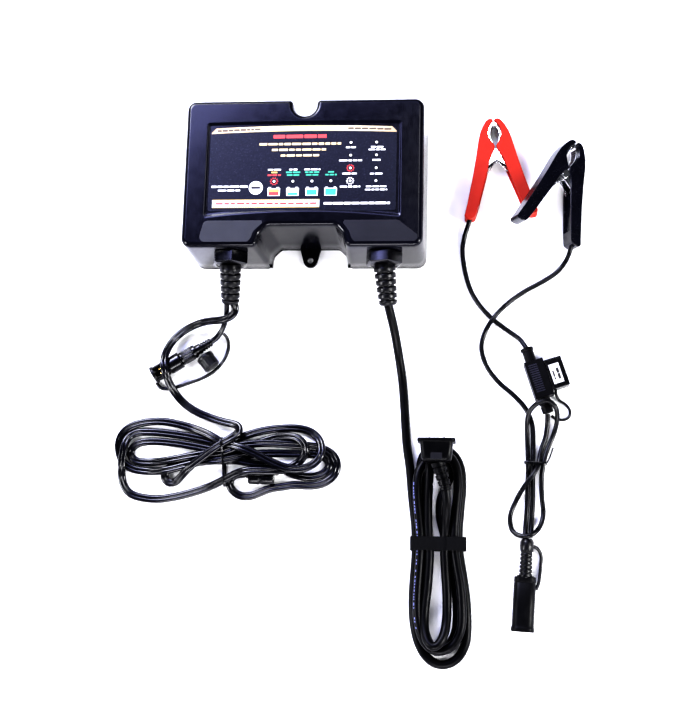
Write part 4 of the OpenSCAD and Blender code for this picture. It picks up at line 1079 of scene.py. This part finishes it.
for x, y in [(40.8, yy) for yy in (26, 14.5, 3, -8.5)] + [(62.8, yy) for yy in (26, 14.5, 3, -8.5)] + [(xx, -8.3) for xx in (-24.4, -8.2, 8.2, 24.4)]:
    parts.append(placed(lathe([(1.55, 69.3), (1.6, 69.66), (1.95, 69.7), (2.15, 69.6)], 24), Matrix.Translation((x, y, 0))))
v, f = join_mesh(parts)
build("light_bezels", v, f, M["matt"], slot="label", angle=50)

# ------------------------------------------------------------------ cord exits
parts = []
for x in (-63.5, 69.5):
    m = Matrix.Translation((x, -66.05, 48)) @ rot(90, "X")
    hexa = [(16.2 * math.cos(math.radians(60 * k + 14)), 16.2 * math.sin(math.radians(60 * k + 14))) for k in range(6)]
    o = corner_path(hexa, [1.2] * 6, 0.0, 3)
    o1 = corner_path(hexa, [1.2] * 6, 1.0, 3)
    nn = len(o)
    hole = [(9.2 * math.cos(2 * PI * k / nn + math.radians(-16)), 9.2 * math.sin(2 * PI * k / nn + math.radians(-16))) for k in range(nn)]
    rings = [[(a, b, 0.3) for a, b in hole], [(a, b, 0.0) for a, b in o1], [(a, b, 0.7) for a, b in o], [(a, b, 9.6) for a, b in o],
             [(a, b, 10.3) for a, b in o1], [(a * 1.32, b * 1.32, 10.6) for a, b in hole], [(a * 1.22, b * 1.22, 9.9) for a, b in hole], [(a, b, 9.7) for a, b in hole]]
    rings.append(rings[0])
    parts.append(placed(loft(rings), m))
v, f = join_mesh(parts)
build("cable_gland_nuts", v, f, M["gland"], replaces=("gland_nuts",), slot="gland", angle=30, weld=True)


def boot(name, node, x, tip):
    face = Vector((x, -66.0 - 9.2, 47.0))
    tip = Vector(tip)
    L = (tip - face).length
    bushing = lathe(soften([(0, 0), (8.9, 0), (8.9, 3.4), (8.9, 9.4), (11.3, 9.8), (11.3, 13.0), (9.6, 13.2), (0, 13.3)], 0.4), 56)
    bm_ = Matrix.Translation((x, -63.3, 48)) @ rot(90, "X")
    collar = lathe(soften([(8.9, -2), (11.5, -0.4), (11.5, 3.0), (10.4, 3.6), (0, 3.7)], 0.4), 56)
    cm = Matrix.Translation((x, -59.8, 48)) @ rot(90, "X")
    prof = [(0, -1), (8.4, -1), (9.0, 2.4)]
    z, r = 2.4, 9.3
    k = 0
    while z < L - 6.0:
        prof += [(r, z + 0.5), (r, z + 3.3), (r - 0.3, z + 3.8), (r - 2.0, z + 4.1), (r - 2.0, z + 5.4), (r - 0.45, z + 5.8)]
        z += 5.8
        r -= 0.27
    prof += [(r, z + 0.4), (r - 0.3, L - 1.6), (r - 1.2, L - 0.2), (r - 2.6, L), (0, L)]
    tail = placed(lathe(soften(prof, 0.4, 2), 56), aim(face, tip - face))
    v, f = join_mesh([placed(bushing, bm_), placed(collar, cm), tail])
    return build(name, v, f, M["rubber"], replaces=(node,), slot="rubber", angle=45)


boot_out = boot("output_boot", "output_strain_relief", -63.5, (-65.2, -106, 31.3))
boot_in = boot("mains_boot", "input_strain_relief", 69.5, (72.8, -108.5, 35))

# ------------------------------------------------------------------ output lead's tie and connector
tie_yz = [(-221.4, 6.0), (-221.0, 11.0), (-222.4, 14.6), (-225.8, 15.5), (-229.6, 14.2), (-234.0, 11.2), (-240.0, 10.6), (-246.0, 8.8),
          (-252.0, 8.9), (-258.4, 9.0), (-262.2, 6.2), (-262.4, 3.0), (-260.4, 0.9), (-252.0, 0.5), (-240.0, 0.5), (-228.0, 0.5), (-223.2, 1.2)]
tie_pts = [(-71.9 + (-221 - y) * 0.085, y, z) for y, z in tie_yz]
tie_pts = cat(tie_pts + [tie_pts[0], tie_pts[1]], 1.6)
tie = swept("twist_tie", tie_pts[:-1], [(-1.0, 0.35), (-0.5, 0.5), (0.5, 0.5), (1.0, 0.35), (1.0, -0.3), (-1.0, -0.3)], M["black"],
            replaces=("output_tie",), slot="tie", angle=50)

b1 = lathe(soften([(0, 0), (4.3, 0), (4.9, 0.6), (4.9, 9.0), (4.4, 9.4), (4.4, 10.6), (4.9, 11.0), (4.9, 21.0), (4.5, 22.0), (2.3, 22.0), (2.3, 16.0), (0, 16.0)], 0.3), 40)
b2 = lathe(soften([(0, 0), (4.3, 0), (4.9, 0.6), (4.9, 9.0), (4.4, 9.4), (4.4, 10.6), (4.9, 11.0), (4.7, 14.0), (4.2, 15.0), (2.6, 15.0), (2.4, 21.9), (1.75, 22.0), (0, 22.0)], 0.3), 40)
neck = lathe(soften([(0, -6.0), (2.9, -6.0), (3.3, -5.0), (3.3, -3.6), (2.9, -3.2), (2.9, -2.4), (3.5, -2.0), (3.7, 1.4), (0, 1.6)], 0.25), 32)
web, wf = prism(corner_path([(-4.6, 0.6), (4.6, 0.6), (4.6, 20.4), (-4.6, 20.4)], [1.5] * 4, 0, 3), -3.2, 3.2)
v, f = join_mesh([placed(b1, Matrix.Translation((-47.6, -255.7, 5.2)) @ rot(90, "Y")), placed(b2, Matrix.Translation((-47.6, -251.1, 5.2)) @ rot(90, "Y")),
                  placed(neck, Matrix.Translation((-47.6, -251.8, 5.0)) @ rot(90, "Y")), placed((web, wf), Matrix.Translation((-47.6, -253.4, 5.2)) @ rot(-90, "Z"))])
output_plug = build("output_connector_shell", v, f, M["black"], replaces=("output_connector",), slot="rubber", angle=40)

# ------------------------------------------------------------------ sensor lead's connector
PT, PV = Vector((-85.3, -135.3, 7.7)), Vector((-0.856, -0.517, 0))
PM = aim(PT, PV)
prof = [(0, 0), (2.9, 0), (3.6, 0.8)]
z, r = 0.8, 3.8
while z < 10.0:
    prof += [(r, z + 0.3), (r + 0.05, z + 1.5), (r - 0.7, z + 1.75), (r - 0.7, z + 2.2), (r + 0.1, z + 2.45)]
    z += 2.45
    r += 0.13
prof += [(4.6, 11.2), (4.7, 15.4), (4.4, 15.4), (4.4, 31.4), (6.9, 31.4), (7.4, 31.9), (7.5, 33.4), (7.5, 42.4), (7.2, 43.6), (6.6, 44.5), (5.6, 44.6), (5.6, 47.6), (0, 47.6)]
pig_body = build("sensor_plug_body", *lathe(soften(prof, 0.2, 2), 48), M["black"], replaces=("pigtail_body",), slot="black_parts", matrix=PM, angle=40)
prof = soften([(4.5, 15.7), (5.4, 15.7), (6.0, 16.3), (6.0, 18.6), (5.7, 19.0), (6.1, 19.4), (6.1, 28.2), (5.8, 28.6), (6.1, 29.0), (6.1, 30.4), (5.6, 31.1), (4.5, 31.1)], 0.2, 2)
prof = [(a, b) for a, b in prof]
mid = [j for j, (a, b) in enumerate(prof) if 19.3 < b < 28.3 and a > 5.5]
v, f = lathe(prof, 112, wave=lambda k, j: (0.16 if (k // 2) % 2 else -0.16) if j in mid else 0.0)
v, f = join_mesh([(v, f), lathe([(4.5, 15.7), (4.5, 31.1)], 112)])
build("coupling_ring", v, f, M["gland"], body="pigtail_ring", replaces=("pigtail_ring",), slot="black_parts", matrix=PM, angle=40, weld=True)
# sleeve with its window upward: local -X is up
N = 96
win = lambda k: abs(((k + 0.5) / N * 360) - 180) < 40
rows = soften([(5.8, 44.8), (6.8, 44.8), (7.1, 45.1), (7.1, 48.6), (7.1, 56.8), (7.1, 59.0), (6.8, 59.4), (5.8, 59.4)], 0.2, 2)
v, f = lathe(rows, N, skip=lambda k, j: win(k) and rows[j][1] > 48.4 and rows[j + 1][1] < 57.0)
v2, f2 = lathe([(5.8, 59.4), (5.8, 56.8), (5.8, 48.6), (5.8, 44.8)], N, skip=lambda k, j: win(k) and j == 1)
# walls of the window
wv, wf = [], []
ks = [k for k in range(N) if win(k)]
a0, a1 = 2 * PI * ks[0] / N, 2 * PI * (ks[-1] + 1) / N
for a in (a0, a1):
    q = len(wv)
    wv += [(5.8 * math.cos(a), 5.8 * math.sin(a), 48.6), (7.1 * math.cos(a), 7.1 * math.sin(a), 48.6),
           (7.1 * math.cos(a), 7.1 * math.sin(a), 56.8), (5.8 * math.cos(a), 5.8 * math.sin(a), 56.8)]
    wf.append((q, q + 1, q + 2, q + 3))
for zz in (48.6, 56.8):
    for k in ks:
        p, q2 = 2 * PI * k / N, 2 * PI * (k + 1) / N
        q = len(wv)
        wv += [(5.8 * math.cos(p), 5.8 * math.sin(p), zz), (7.1 * math.cos(p), 7.1 * math.sin(p), zz),
               (7.1 * math.cos(q2), 7.1 * math.sin(q2), zz), (5.8 * math.cos(q2), 5.8 * math.sin(q2), zz)]
        wf.append((q, q + 1, q + 2, q + 3))
v, f = join_mesh([(v, f), (v2, f2), (wv, wf)])
sleeve = build("sensor_plug_sleeve", v, f, M["black"], replaces=("pigtail_sleeve",), slot="black_parts", matrix=PM, angle=40, weld=True)
# strap's ring on the nose and the loose cap
v, f = lathe(soften([(7.15, 56.9), (7.7, 56.9), (7.95, 57.4), (7.95, 59.0), (7.7, 59.5), (7.15, 59.5)], 0.2, 2) + [(7.15, 56.9)], 48)
nose_ring = build("sensor_cap_ring", v, f, M["rubber"], slot="rubber", matrix=PM, angle=40)
CM = aim((-83.4, -158.3, 7.7), (-0.62, 0.785, 0))
prof = soften([(0, -0.02), (6.6, 0), (7.3, 0.6), (7.4, 1.6), (7.4, 8.9), (7.75, 9.4), (7.75, 12.0), (7.3, 12.6), (6.2, 12.6), (6.1, 2.0), (0, 2.0)], 0.3, 2)
ribs = [j for j, (a, b) in enumerate(prof) if 1.2 < b < 9.0 and a > 7.0]
v, f = lathe(prof, 96, wave=lambda k, j: (0.0 if (k % 4) < 2 else -0.22) if j in ribs else 0.0)
pig_cap = build("sensor_dust_cap", v, f, M["rubber"], replaces=("pigtail_cap",), slot="rubber", matrix=CM, angle=40)

# ------------------------------------------------------------------ mains plug and hank strap
O = Vector((115.2, -222.8, 28.2))


def rbox(w, h, r, inset=0.0, n=4, cx=0.0, cz=0.0):
    return corner_path([(cx - w / 2, cz - h / 2), (cx + w / 2, cz - h / 2), (cx + w / 2, cz + h / 2), (cx - w / 2, cz + h / 2)], [r] * 4, inset, n)


rows = [(0.0, 31.0, 23.0, 3.2), (-0.25, 31.6, 23.6, 3.4), (-0.7, 32.0, 24.0, 3.6), (-2.1, 32.0, 24.0, 3.6), (-2.6, 31.5, 23.5, 3.4), (-2.8, 29.6, 21.8, 3.4),
        (-3.1, 27.8, 21.4, 3.4), (-3.6, 27.4, 21.2, 3.4), (-8.0, 26.8, 19.9, 3.6), (-13.0, 26.0, 18.2, 3.8), (-16.6, 25.2, 17.0, 4.0),
        (-18.3, 23.6, 15.6, 4.2), (-19.3, 19.6, 12.6, 4.2), (-19.6, 14.0, 9.6, 4.0)]
rings = [[(x, y, zc) for x, zc in rbox(w, h, r)] for y, w, h, r in rows]
v, f = loft(rings)
nn = len(rings[0])
f = f + [tuple(range(nn)), tuple(range(len(v) - nn, len(v)))]
tailp = [(1.0, -18.8, -1.6), (2.4, -23.6, -2.4), (4.6, -30.0, -3.0), (6.6, -36.5, -3.2), (7.8, -42.6, -3.4)]
tp = cat(tailp, 0.45)
tv, tf = [], []
fr2 = frames(tp)
total = run(tp)
acc = 0.0
for i, (p, (t, s, u)) in enumerate(zip(tp, fr2)):
    if i:
        acc += (tp[i] - tp[i - 1]).length
    q = acc / total
    base = 6.3 - 1.5 * q
    ph = (acc % 5.6) / 5.6
    dip = 1.15 if 0.62 < ph < 0.9 and acc > 4 else 0.0
    r = base - dip
    if i == len(tp) - 1:
        r = base - 1.0
    for k in range(28):
        a = 2 * PI * k / 28
        tv.append(p + s * (r * math.cos(a)) + u * (r * math.sin(a)))
for i in range(len(tp) - 1):
    for k in range(28):
        a, b = i * 28 + k, i * 28 + (k + 1) % 28
        tf.append((a, b, b + 28, a + 28))
tf.append(tuple(range((len(tp) - 1) * 28, len(tp) * 28)))
v, f = join_mesh([(v, f), (tv, tf)])
plug = build("mains_plug_body", v, f, M["mains"], replaces=("mains_plug",), slot="rubber", matrix=Matrix.Translation(O), angle=34)
# moulded side ribs and the small panel on the plug's face
rv, rf = [], []
for sx in (-1, 1):
    for yy in (-6.2, -8.6, -11.0, -13.4):
        w = 13.9 - 0.12 * (-yy - 3)
        pv_, pf = prism(corner_path([(-0.5, -5), (0.5, -5), (0.5, 5), (-0.5, 5)], [0.45] * 4, 0, 3), 0, 0.55)
        mt = Matrix.Translation((sx * (w - 0.75), yy, 0)) @ rot(90 * sx, "Y") @ rot(90, "Z")
        a, b = placed((pv_, pf), mt)
        q = len(rv)
        rv += a
        rf += [tuple(i + q for i in ff) for ff in b]
side_ribs = build("mains_plug_ribs", rv, rf, M["mains"], slot="rubber", matrix=Matrix.Translation(O), angle=34, bevel=0.15)
pl = corner_path([(-4.9, -17.6), (4.9, -17.6), (4.9, -12.2), (-4.9, -12.2)], [0.8] * 4, 0, 3)
h = lambda y: 9.95 - (-8.0 - y) * 0.175 if y < -8 else 9.95
v = [(x, y, h(y) + 0.02) for x, y in pl] + [(x, y, h(y) + 0.28) for x, y in pl]
n = len(pl)
f = [tuple(range(n, 2 * n))] + [(k, (k + 1) % n, n + (k + 1) % n, n + k) for k in range(n)]
panel = build("mains_plug_panel", v, f, M["pad_r"], slot="rubber", matrix=Matrix.Translation(O), angle=34)
blades = dressed("plug_blades", "mains_plug_blades", M["blade"], 0.1, 2)

# strap: a flat band pulled tight round the hank, one end lapped over the other
st = []
for x, z in [(95.5, 0.35), (116, 0.3), (137, 0.35), (139.6, 1.6), (140.2, 6.0), (140.0, 12.0), (138.6, 15.6), (134.0, 16.9), (124.0, 16.7),
             (116.0, 15.4), (108.0, 16.6), (99.0, 16.7), (94.4, 15.4), (93.2, 11.6), (93.0, 5.0), (93.6, 1.4)]:
    st.append((x, z))
pts = cat([(x, 0, z) for x, z in st + [st[0], st[1]]], 1.5)[:-1]
v, f = [], []
m = len(pts)
rows_y = [-303.2, -303.0, -308.8, -314.6, -314.4]
for i, p in enumerate(pts):
    nx = pts[min(i + 1, m - 1)] - pts[max(i - 1, 0)]
    nrm = Vector((-nx.z, 0, nx.x)).normalized() * -1
    for yy, o in ((-303.1, 0.0), (-303.0, 0.45), (-303.5, 0.8), (-308.8, 0.9), (-314.1, 0.8), (-314.6, 0.45), (-314.5, 0.0)):
        q = p - nrm * o
        v.append((q.x, yy, max(q.z, 0.05)))
for i in range(m - 1):
    for k in range(7):
        a, b = i * 7 + k, i * 7 + (k + 1) % 7
        f.append((a, b, b + 7, a + 7))
strap = build("hank_band", v, f, M["weave"], replaces=("hank_strap",), slot="tie", angle=45)
lap = cat([(124.0, -308.8, 17.75), (128.5, -308.6, 18.0), (133.0, -308.6, 18.0), (137.6, -308.8, 17.4), (140.4, -308.9, 15.6)], 1.0)
v, f = [], []
for i, p in enumerate(lap):
    for yy, zz in ((-5.6, -0.35), (-5.7, 0.2), (-5.0, 0.45), (5.0, 0.45), (5.7, 0.2), (5.6, -0.35)):
        v.append((p.x, p.y + yy, p.z + zz))
for i in range(len(lap) - 1):
    for k in range(6):
        a, b = i * 6 + k, i * 6 + (k + 1) % 6
        f.append((a, b, b + 6, a + 6))
f += [tuple(range(5, -1, -1)), tuple(range(len(v) - 6, len(v)))]
strap_lap = build("hank_band_lap", v, f, M["weave"], slot="tie", angle=45)

# a broken line of dashes along the upper left strand of the hank: the cord's print, coloured bluish and made to glow as
# a painted highlight
near = lambda q: min(range(len(mains_pts)), key=lambda i: (mains_pts[i] - Vector(q)).length)
i0, i1 = near((98.2, -258, 11.5)), near((102.4, -381.0, 11.7))
seg = cat(mains_pts[i0:i1 + 1], 0.4)
sf = frames(seg)
rnd = random.Random(9)
v, f, at, i = [], [], 0.0, 0
while i < len(seg) - 8:
    n = rnd.choice((3, 4, 4, 6))
    if rnd.random() < 0.82:
        q = len(v)
        for j in range(n + 1):
            p, (t, sd, up) = seg[i + j], sf[i + j]
            for w in (-0.10, 0.10):
                a = math.radians(50) + w
                d = sd * math.cos(a) + up * math.sin(a)
                v.append(p + d * 3.9)
        for j in range(n):
            f.append((q + 2 * j, q + 2 * j + 1, q + 2 * j + 3, q + 2 * j + 2))
    i += n + rnd.choice((2, 3, 3, 5))
# bluish like the lamps and glowing: a painted highlight laid over the cord's print
M["cord_ink_painted_highlight"] = ink("cord_ink_painted_highlight", (0.20, 0.22, 0.50), 0.2)
cord_print_painted_highlight = build("mains_lead_print_painted_highlight", v, f, M["cord_ink_painted_highlight"], slot="rubber")

# ------------------------------------------------------------------ fuse block
FM = Matrix.Translation((191.3, -140, 6.6)) @ rot(-72, "Z")
v1 = lathe(soften([(0, 0), (5.4, 0), (5.6, 0.4), (5.6, 2.1), (5.0, 2.4), (4.6, 3.0), (4.8, 4.2), (4.8, 12.8), (0, 12.9)], 0.3), 40)
v2 = lathe(soften([(0, 0), (5.4, 0), (5.4, 2.4), (4.6, 2.7), (4.6, 3.7), (5.2, 4.0), (5.1, 6.4), (4.3, 6.7), (4.3, 7.7), (4.9, 8.0), (4.8, 10.4), (4.1, 10.7), (4.1, 11.6), (4.6, 11.9), (4.3, 13.8), (0, 13.8)], 0.2), 40)
body = prism(corner_path([(12.6, -6.8), (45.6, -6.8), (45.6, 9.6), (12.6, 9.6)], [2.2, 2.2, 0.6, 0.6], 0, 5), -6.5, 6.5)
parts = [placed(v1, rot(90, "Y")), placed(v2, Matrix.Translation((45, 0, 0)) @ rot(90, "Y"))]
v, f = join_mesh(parts)
fuse_ends = build("fuse_holder_ends", v, f, M["rubber"], slot="rubber", matrix=FM, angle=40)
fuse_body = dressed("fuse_holder", "fuse_holder_body", M["matt"], 0.7, 3)
rv, rf = [], []
for k in range(13):
    x = 16.0 + k * 1.95
    pr = prism(corner_path([(x, -4.4), (x + 1.0, -4.4), (x + 1.0, 3.4), (x, 3.4)], [0.45] * 4, 0, 3), 6.4, 6.95)
    q = len(rv)
    rv += [Vector(p) for p in pr[0]]
    rf += [tuple(i + q for i in ff) for ff in pr[1]]
fuse_ribs = build("fuse_holder_ribs", rv, rf, M["rib"], slot="black_parts", matrix=FM, angle=34, bevel=0.15)
fuse_lid = dressed("fuse_cap", "fuse_lid", M["black"], 0.9, 3)
fuse_tag = dressed("fuse_label", "fuse_tag", M["paper"], 0.08, 1)
prints = {}
INK_Z = 6.82
for yy, a, b, hh in ((14.3, 26.4, 34.4, 1.3), (18.3, 25.0, 34.8, 2.2)):
    words("grey", a, b, yy, hh, int(yy * 10), gap=0.6)
v, f = prints["grey"]
build("fuse_tag_print", v, f, M["mark"], body="fuse_cap", slot="label_white", matrix=FM)
paint("blade_fuse", M["fuse"])

# ------------------------------------------------------------------ lead tie, two-pin connector and its cap
tie2 = [(189.3, 1.2), (189.0, 3.2), (189.6, 5.8), (192.2, 6.9), (196.5, 7.1), (201.0, 7.0), (205.4, 6.8), (207.6, 5.6), (207.9, 3.2), (207.2, 0.9), (204.0, 0.45), (198.5, 0.4), (192.0, 0.45)]
pts = cat([(x, -239.0 - (x - 198) * 0.06, z) for x, z in tie2 + [tie2[0], tie2[1]]], 0.9)[:-1]
lead_tie = swept("lead_twist_tie", pts, [(-1.0, 0.3), (-0.5, 0.42), (0.5, 0.42), (1.0, 0.3), (1.0, -0.25), (-1.0, -0.25)], M["black"],
                 replaces=("lead_tie",), slot="tie", angle=50)
tw = cat([(207.6, -239.2, 4.2), (209.6, -236.0, 3.6), (211.8, -230.6, 2.6), (213.6, -225.4, 2.2)], 0.8)
tie_end = swept("lead_tie_end", tw, [(0.75 * math.cos(a), 0.75 * math.sin(a)) for a in [2 * PI * k / 8 for k in range(8)]], M["black"], slot="tie", angle=60)

LT, LV = Vector((191.2, -302.6, 6)), Vector((-0.057, -0.998, 0))
LM = aim(LT, LV)
prof = [(0, 0.3), (3.6, 0.3), (4.6, 1.2), (5.7, 3.4), (5.9, 6.6), (5.5, 10.0), (4.5, 12.4)]
z = 12.8
k = 0
while z < 30:
    r = 5.1 + 0.06 * k
    prof += [(r, z + 0.2), (r + 0.1, z + 1.9), (r - 0.8, z + 2.2), (r - 0.8, z + 3.0), (r, z + 3.3)]
    z += 3.35
    k += 1
prof += [(5.8, 31.4), (0, 31.4)]
lead_plug = build("lead_plug_tail", *lathe(soften(prof, 0.25, 2), 48), M["rubber"], replaces=("lead_connector",), slot="rubber", matrix=LM, angle=40)
core = prism(corner_path([(-4, -7), (4, -7), (4, 7), (-4, 7)], [2.4] * 4, 0, 5), 31.0, 51.4)
lead_core = build("lead_plug_core", core[0], core[1], M["matt"], slot="rubber", matrix=LM, angle=34, bevel=0.4)


def stadium(w, h, n=10):
    """Outline 2w by 2h across local X by Y with round ends along Y."""
    out = []
    r = w
    for k in range(n + 1):
        out.append((r * math.sin(PI * k / n - PI / 2), -(h - r) - r * math.cos(PI * k / n - PI / 2) * 0.98))
    for k in range(n + 1):
        out.append((-r * math.sin(PI * k / n - PI / 2), (h - r) + r * math.cos(PI * k / n - PI / 2) * 0.98))
    return out


rows = [(32.0, 5.0, 8.8), (32.3, 5.35, 9.15), (33.0, 5.4, 9.25), (36.0, 5.4, 9.3), (36.4, 5.15, 9.0), (37.2, 5.15, 9.0), (37.6, 5.4, 9.3), (56.0, 5.35, 9.25),
        (70.6, 5.25, 9.15), (72.0, 5.3, 9.2), (73.2, 5.5, 9.5), (73.8, 5.75, 9.75), (74.3, 5.8, 9.8), (76.2, 5.8, 9.8), (76.8, 5.55, 9.5), (77.0, 5.0, 9.0)]
rings = [[(x, y, zz) for x, y in stadium(w, hh)] for zz, w, hh in rows]
v, f = loft(rings)
nn = len(rings[0])
f.append(tuple(range(len(v) - nn, len(v))))
rings2 = [[(x, y, zz) for x, y in stadium(w, hh)] for zz, w, hh in ((32.0, 5.0, 8.8), (32.2, 4.6, 7.6), (66.0, 4.3, 7.3))]
v3, f3 = loft(rings2)
f3.append(tuple(range(len(v3) - nn, len(v3))))
v, f = join_mesh([(v, f), (v3, f3)])
lead_cover = build("lead_plug_cap", v, f, M["matt"], body="lead_cap", replaces=("lead_cap",), slot="black_parts", matrix=LM, angle=40, weld=True)

# ------------------------------------------------------------------ clamps
for colour in ("red", "black"):
    g = M["grip_" + colour]
    dressed(colour + "_fixed_grip", colour + "_grip_fixed", g, 1.5 if colour == "red" else 1.3, 4)
    dressed(colour + "_moving_grip", colour + "_grip_moving", g, 1.5 if colour == "red" else 1.3, 4)
    dressed(colour + "_fixed_lever", colour + "_jaw_fixed", M["steel"], 0.22, 2)
    dressed(colour + "_moving_lever", colour + "_jaw_moving", M["steel"], 0.22, 2)
JAW = [(2.0, 10.4), (3.7, 14.6), (4.3, 18.6), (3.4, 23.6), (1.4, 27.8)]


def jaw_flange(name, m, s, body):
    """The toothed flange folded down inside a jaw, between its two cheeks; its steel is painted near black as the shade
    deep inside the jaw.
    """
    top = cat([(s * x, y, 0) for x, y in JAW], 0.45)
    v, f = [], []
    for i, p in enumerate(top):
        t = (top[min(i + 1, len(top) - 1)] - top[max(i - 1, 0)]).normalized()
        out = Vector((t.y, -t.x, 0)) * s
        notch = 0.35 if (i // 2) % 2 else 0.0
        for d, z in ((notch, -4.1), (notch, 4.1), (0.9, 4.1), (0.9, -4.1)):
            q = p + out * d
            v.append((q.x, q.y, z))
    for i in range(len(top) - 1):
        for k in range(4):
            a, b = i * 4 + k, i * 4 + (k + 1) % 4
            f.append((a, b, b + 4, a + 4))
    f += [(0, 1, 2, 3), tuple(len(v) - 4 + k for k in (3, 2, 1, 0))]
    return build(name, v, f, M["steel_dark"], body=body, slot="clamp_steel", matrix=m, angle=30)


dressed("clamp_pivots", "clamp_rivets", M["pin"], 0.3, 3)
RED = Matrix.Translation((165, 35.5, 7.55)) @ rot(4.5, "Z")
BLK = Matrix.Translation((223.5, 13.4, 14.26)) @ rot(-19.5, "Z") @ rot(24, "Y") @ rot(-6.5, "X")

# the flanges' steel is painted near black: painted shade for the deep, dim inside of each jaw
M["steel_dark"] = steel("jaw_flange", (0.055, 0.048, 0.05), (0.25, 0.4))
jaw_flange("red_flange_fixed", RED, -1, "charger")
jaw_flange("red_flange_moving", RED, 1, "red_lever")
jaw_flange("black_flange_fixed", BLK, 1, "charger")
jaw_flange("black_flange_moving", BLK, -1, "black_lever")


def helix(turns, r, z0, z1, a0, a1, n=120):
    pts = []
    for k in range(n + 1):
        u = k / n
        a = a0 + (a1 - a0) * u + turns * 2 * PI * u
        pts.append(Vector((r * math.cos(a), r * math.sin(a), z0 + (z1 - z0) * u)))
    return pts


for colour, m, fixed in (("red", RED, -1), ("black", BLK, 1)):
    coil = helix(2, 3.45, -1.35, 1.35, math.radians(-100), math.radians(-100), 90)
    leg = [coil[0] + (Vector((fixed * 8.8, -15.6, -1.0)) - coil[0]) * (k / 10) for k in range(11)]
    pts = [m @ p for p in list(reversed(leg))[:-1] + coil]
    round_curve(colour + "_spring_coil", pts, 0.62, M["spring"], replaces=("clamp_springs",) if colour == "red" else (), sides=3)
    s = -fixed
    tip = Vector((s * 8.8, -15.6, 1.0))
    start = coil[-1]
    pts = [m @ (start + (tip - start) * (k / 10)) for k in range(11)]
    round_curve(colour + "_spring_leg", pts, 0.62, M["spring"], body=colour + "_lever", sides=3)

# ------------------------------------------------------------------ nodes that keep their own shape
for node, key in {
    "button_switch": "matt", "indicator_board": "board", "circuit_board": "board", "transformer_core": "core",
    "transformer_winding": "winding", "heatsink": "alu", "power_transistors": "matt", "filter_capacitors": "can",
    "filter_choke": "choke", "mains_fuse": "glass", "case_screws": "zinc", "board_screws": "zinc",
}.items():
    paint(node, M[key])
pins = dressed("connector_pins", "contact_pins", M["brass"], 0.12, 2)
pins.data.materials.append(M["nickel"])
for poly in pins.data.polygons:
    if poly.center.x > -0.07:
        poly.material_index = 1

# ------------------------------------------------------------------ table and light
floor_me = bpy.data.meshes.new("table_top")
floor_me.from_pydata([(-4, -4, -0.0002), (4, -4, -0.0002), (4, 4, -0.0002), (-4, 4, -0.0002)], [], [(0, 1, 2, 3)])
fm, nt, b = new_material("table_white")
tc = nt.nodes.new("ShaderNodeTexCoord")
ln = nt.nodes.new("ShaderNodeVectorMath")
ln.operation = "LENGTH"
nt.links.new(tc.outputs["Object"], ln.inputs[0])
far = span(nt, ln.outputs["Value"], 0.06, 0.95, 0.7, 2.2)
nt.links.new(far.outputs["Result"], b.inputs["Emission Strength"])
fn = noise(nt, 6.0, 3.0, 0.5)
fc = ramp(nt, fn.outputs["Fac"], [(0.3, (0.90, 0.90, 0.905)), (0.7, (0.92, 0.92, 0.925))])
nt.links.new(fc.outputs["Color"], b.inputs["Base Color"])
b.inputs["Roughness"].default_value = 0.85
b.inputs["Specular IOR Level"].default_value = 0.1
b.inputs["Emission Color"].default_value = (0.95, 0.95, 1.0, 1)
floor_me.materials.append(fm)
floor_ob = link(bpy.data.objects.new("table_top", floor_me))

world = bpy.data.worlds.new("studio")
scene.world = world
world.use_nodes = True
bg = world.node_tree.nodes["Background"]
wt = world.node_tree
wc = wt.nodes.new("ShaderNodeTexCoord")
ws = wt.nodes.new("ShaderNodeSeparateXYZ")
wt.links.new(wc.outputs["Generated"], ws.inputs["Vector"])
wr = ramp(wt, ws.outputs["Z"], [(0.05, (1.0, 1.0, 1.0)), (0.10, (0.045, 0.047, 0.052))])
wt.links.new(wr.outputs["Color"], bg.inputs["Color"])
bg.inputs["Strength"].default_value = 1.0


def area(name, at, look, size, power, colour=(1, 1, 1), size_y=None):
    d = bpy.data.lights.new(name, "AREA")
    d.energy = power
    d.color = colour
    d.shape = "RECTANGLE"
    d.size = size
    d.size_y = size_y or size
    o = link(bpy.data.objects.new(name, d))
    o.location = at
    o.rotation_mode = "QUATERNION"
    o.rotation_quaternion = (Vector(look) - Vector(at)).to_track_quat("-Z", "Y")
    return o


area("key", (-0.80, 0.85, 1.00), (0.0, -0.05, 0.0), 0.45, 17.0, (0.95, 0.96, 1.0), 0.45)
area("right", (1.15, -0.45, 0.75), (0.1, -0.1, 0.0), 0.25, 15.0, (1.0, 1.0, 1.0), 0.6)
area("front", (0.15, -1.25, 0.70), (0.0, -0.1, 0.0), 1.0, 13.0, (0.97, 0.96, 1.0), 0.3)
area("left", (-1.05, -0.55, 0.80), (0.0, -0.1, 0.0), 0.25, 10.0, (0.97, 0.97, 1.0), 0.6)
area("sky", (-0.56, 0.60, 1.12), (-0.05, 0.05, 0.0), 0.62, 9.3, (0.50, 0.52, 1.0), 0.50)
area("sky_top", (-0.05, 0.72, 1.12), (0.0, 0.05, 0.0), 0.6, 2.6, (0.50, 0.52, 1.0), 0.22)
area("rim", (-0.36, 0.87, 0.78), (0.22, 0.01, 0.02), 0.5, 4.5, (0.96, 0.97, 1.0), 0.12)
area("chrome", (0.26, 0.42, 1.12), (0.18, 0.02, 0.0), 0.26, 1.6, (1.0, 1.0, 1.0), 0.30)
scene.view_settings.view_transform = "Standard"
scene.view_settings.look = "Very High Contrast"
scene.view_settings.exposure = 0.0
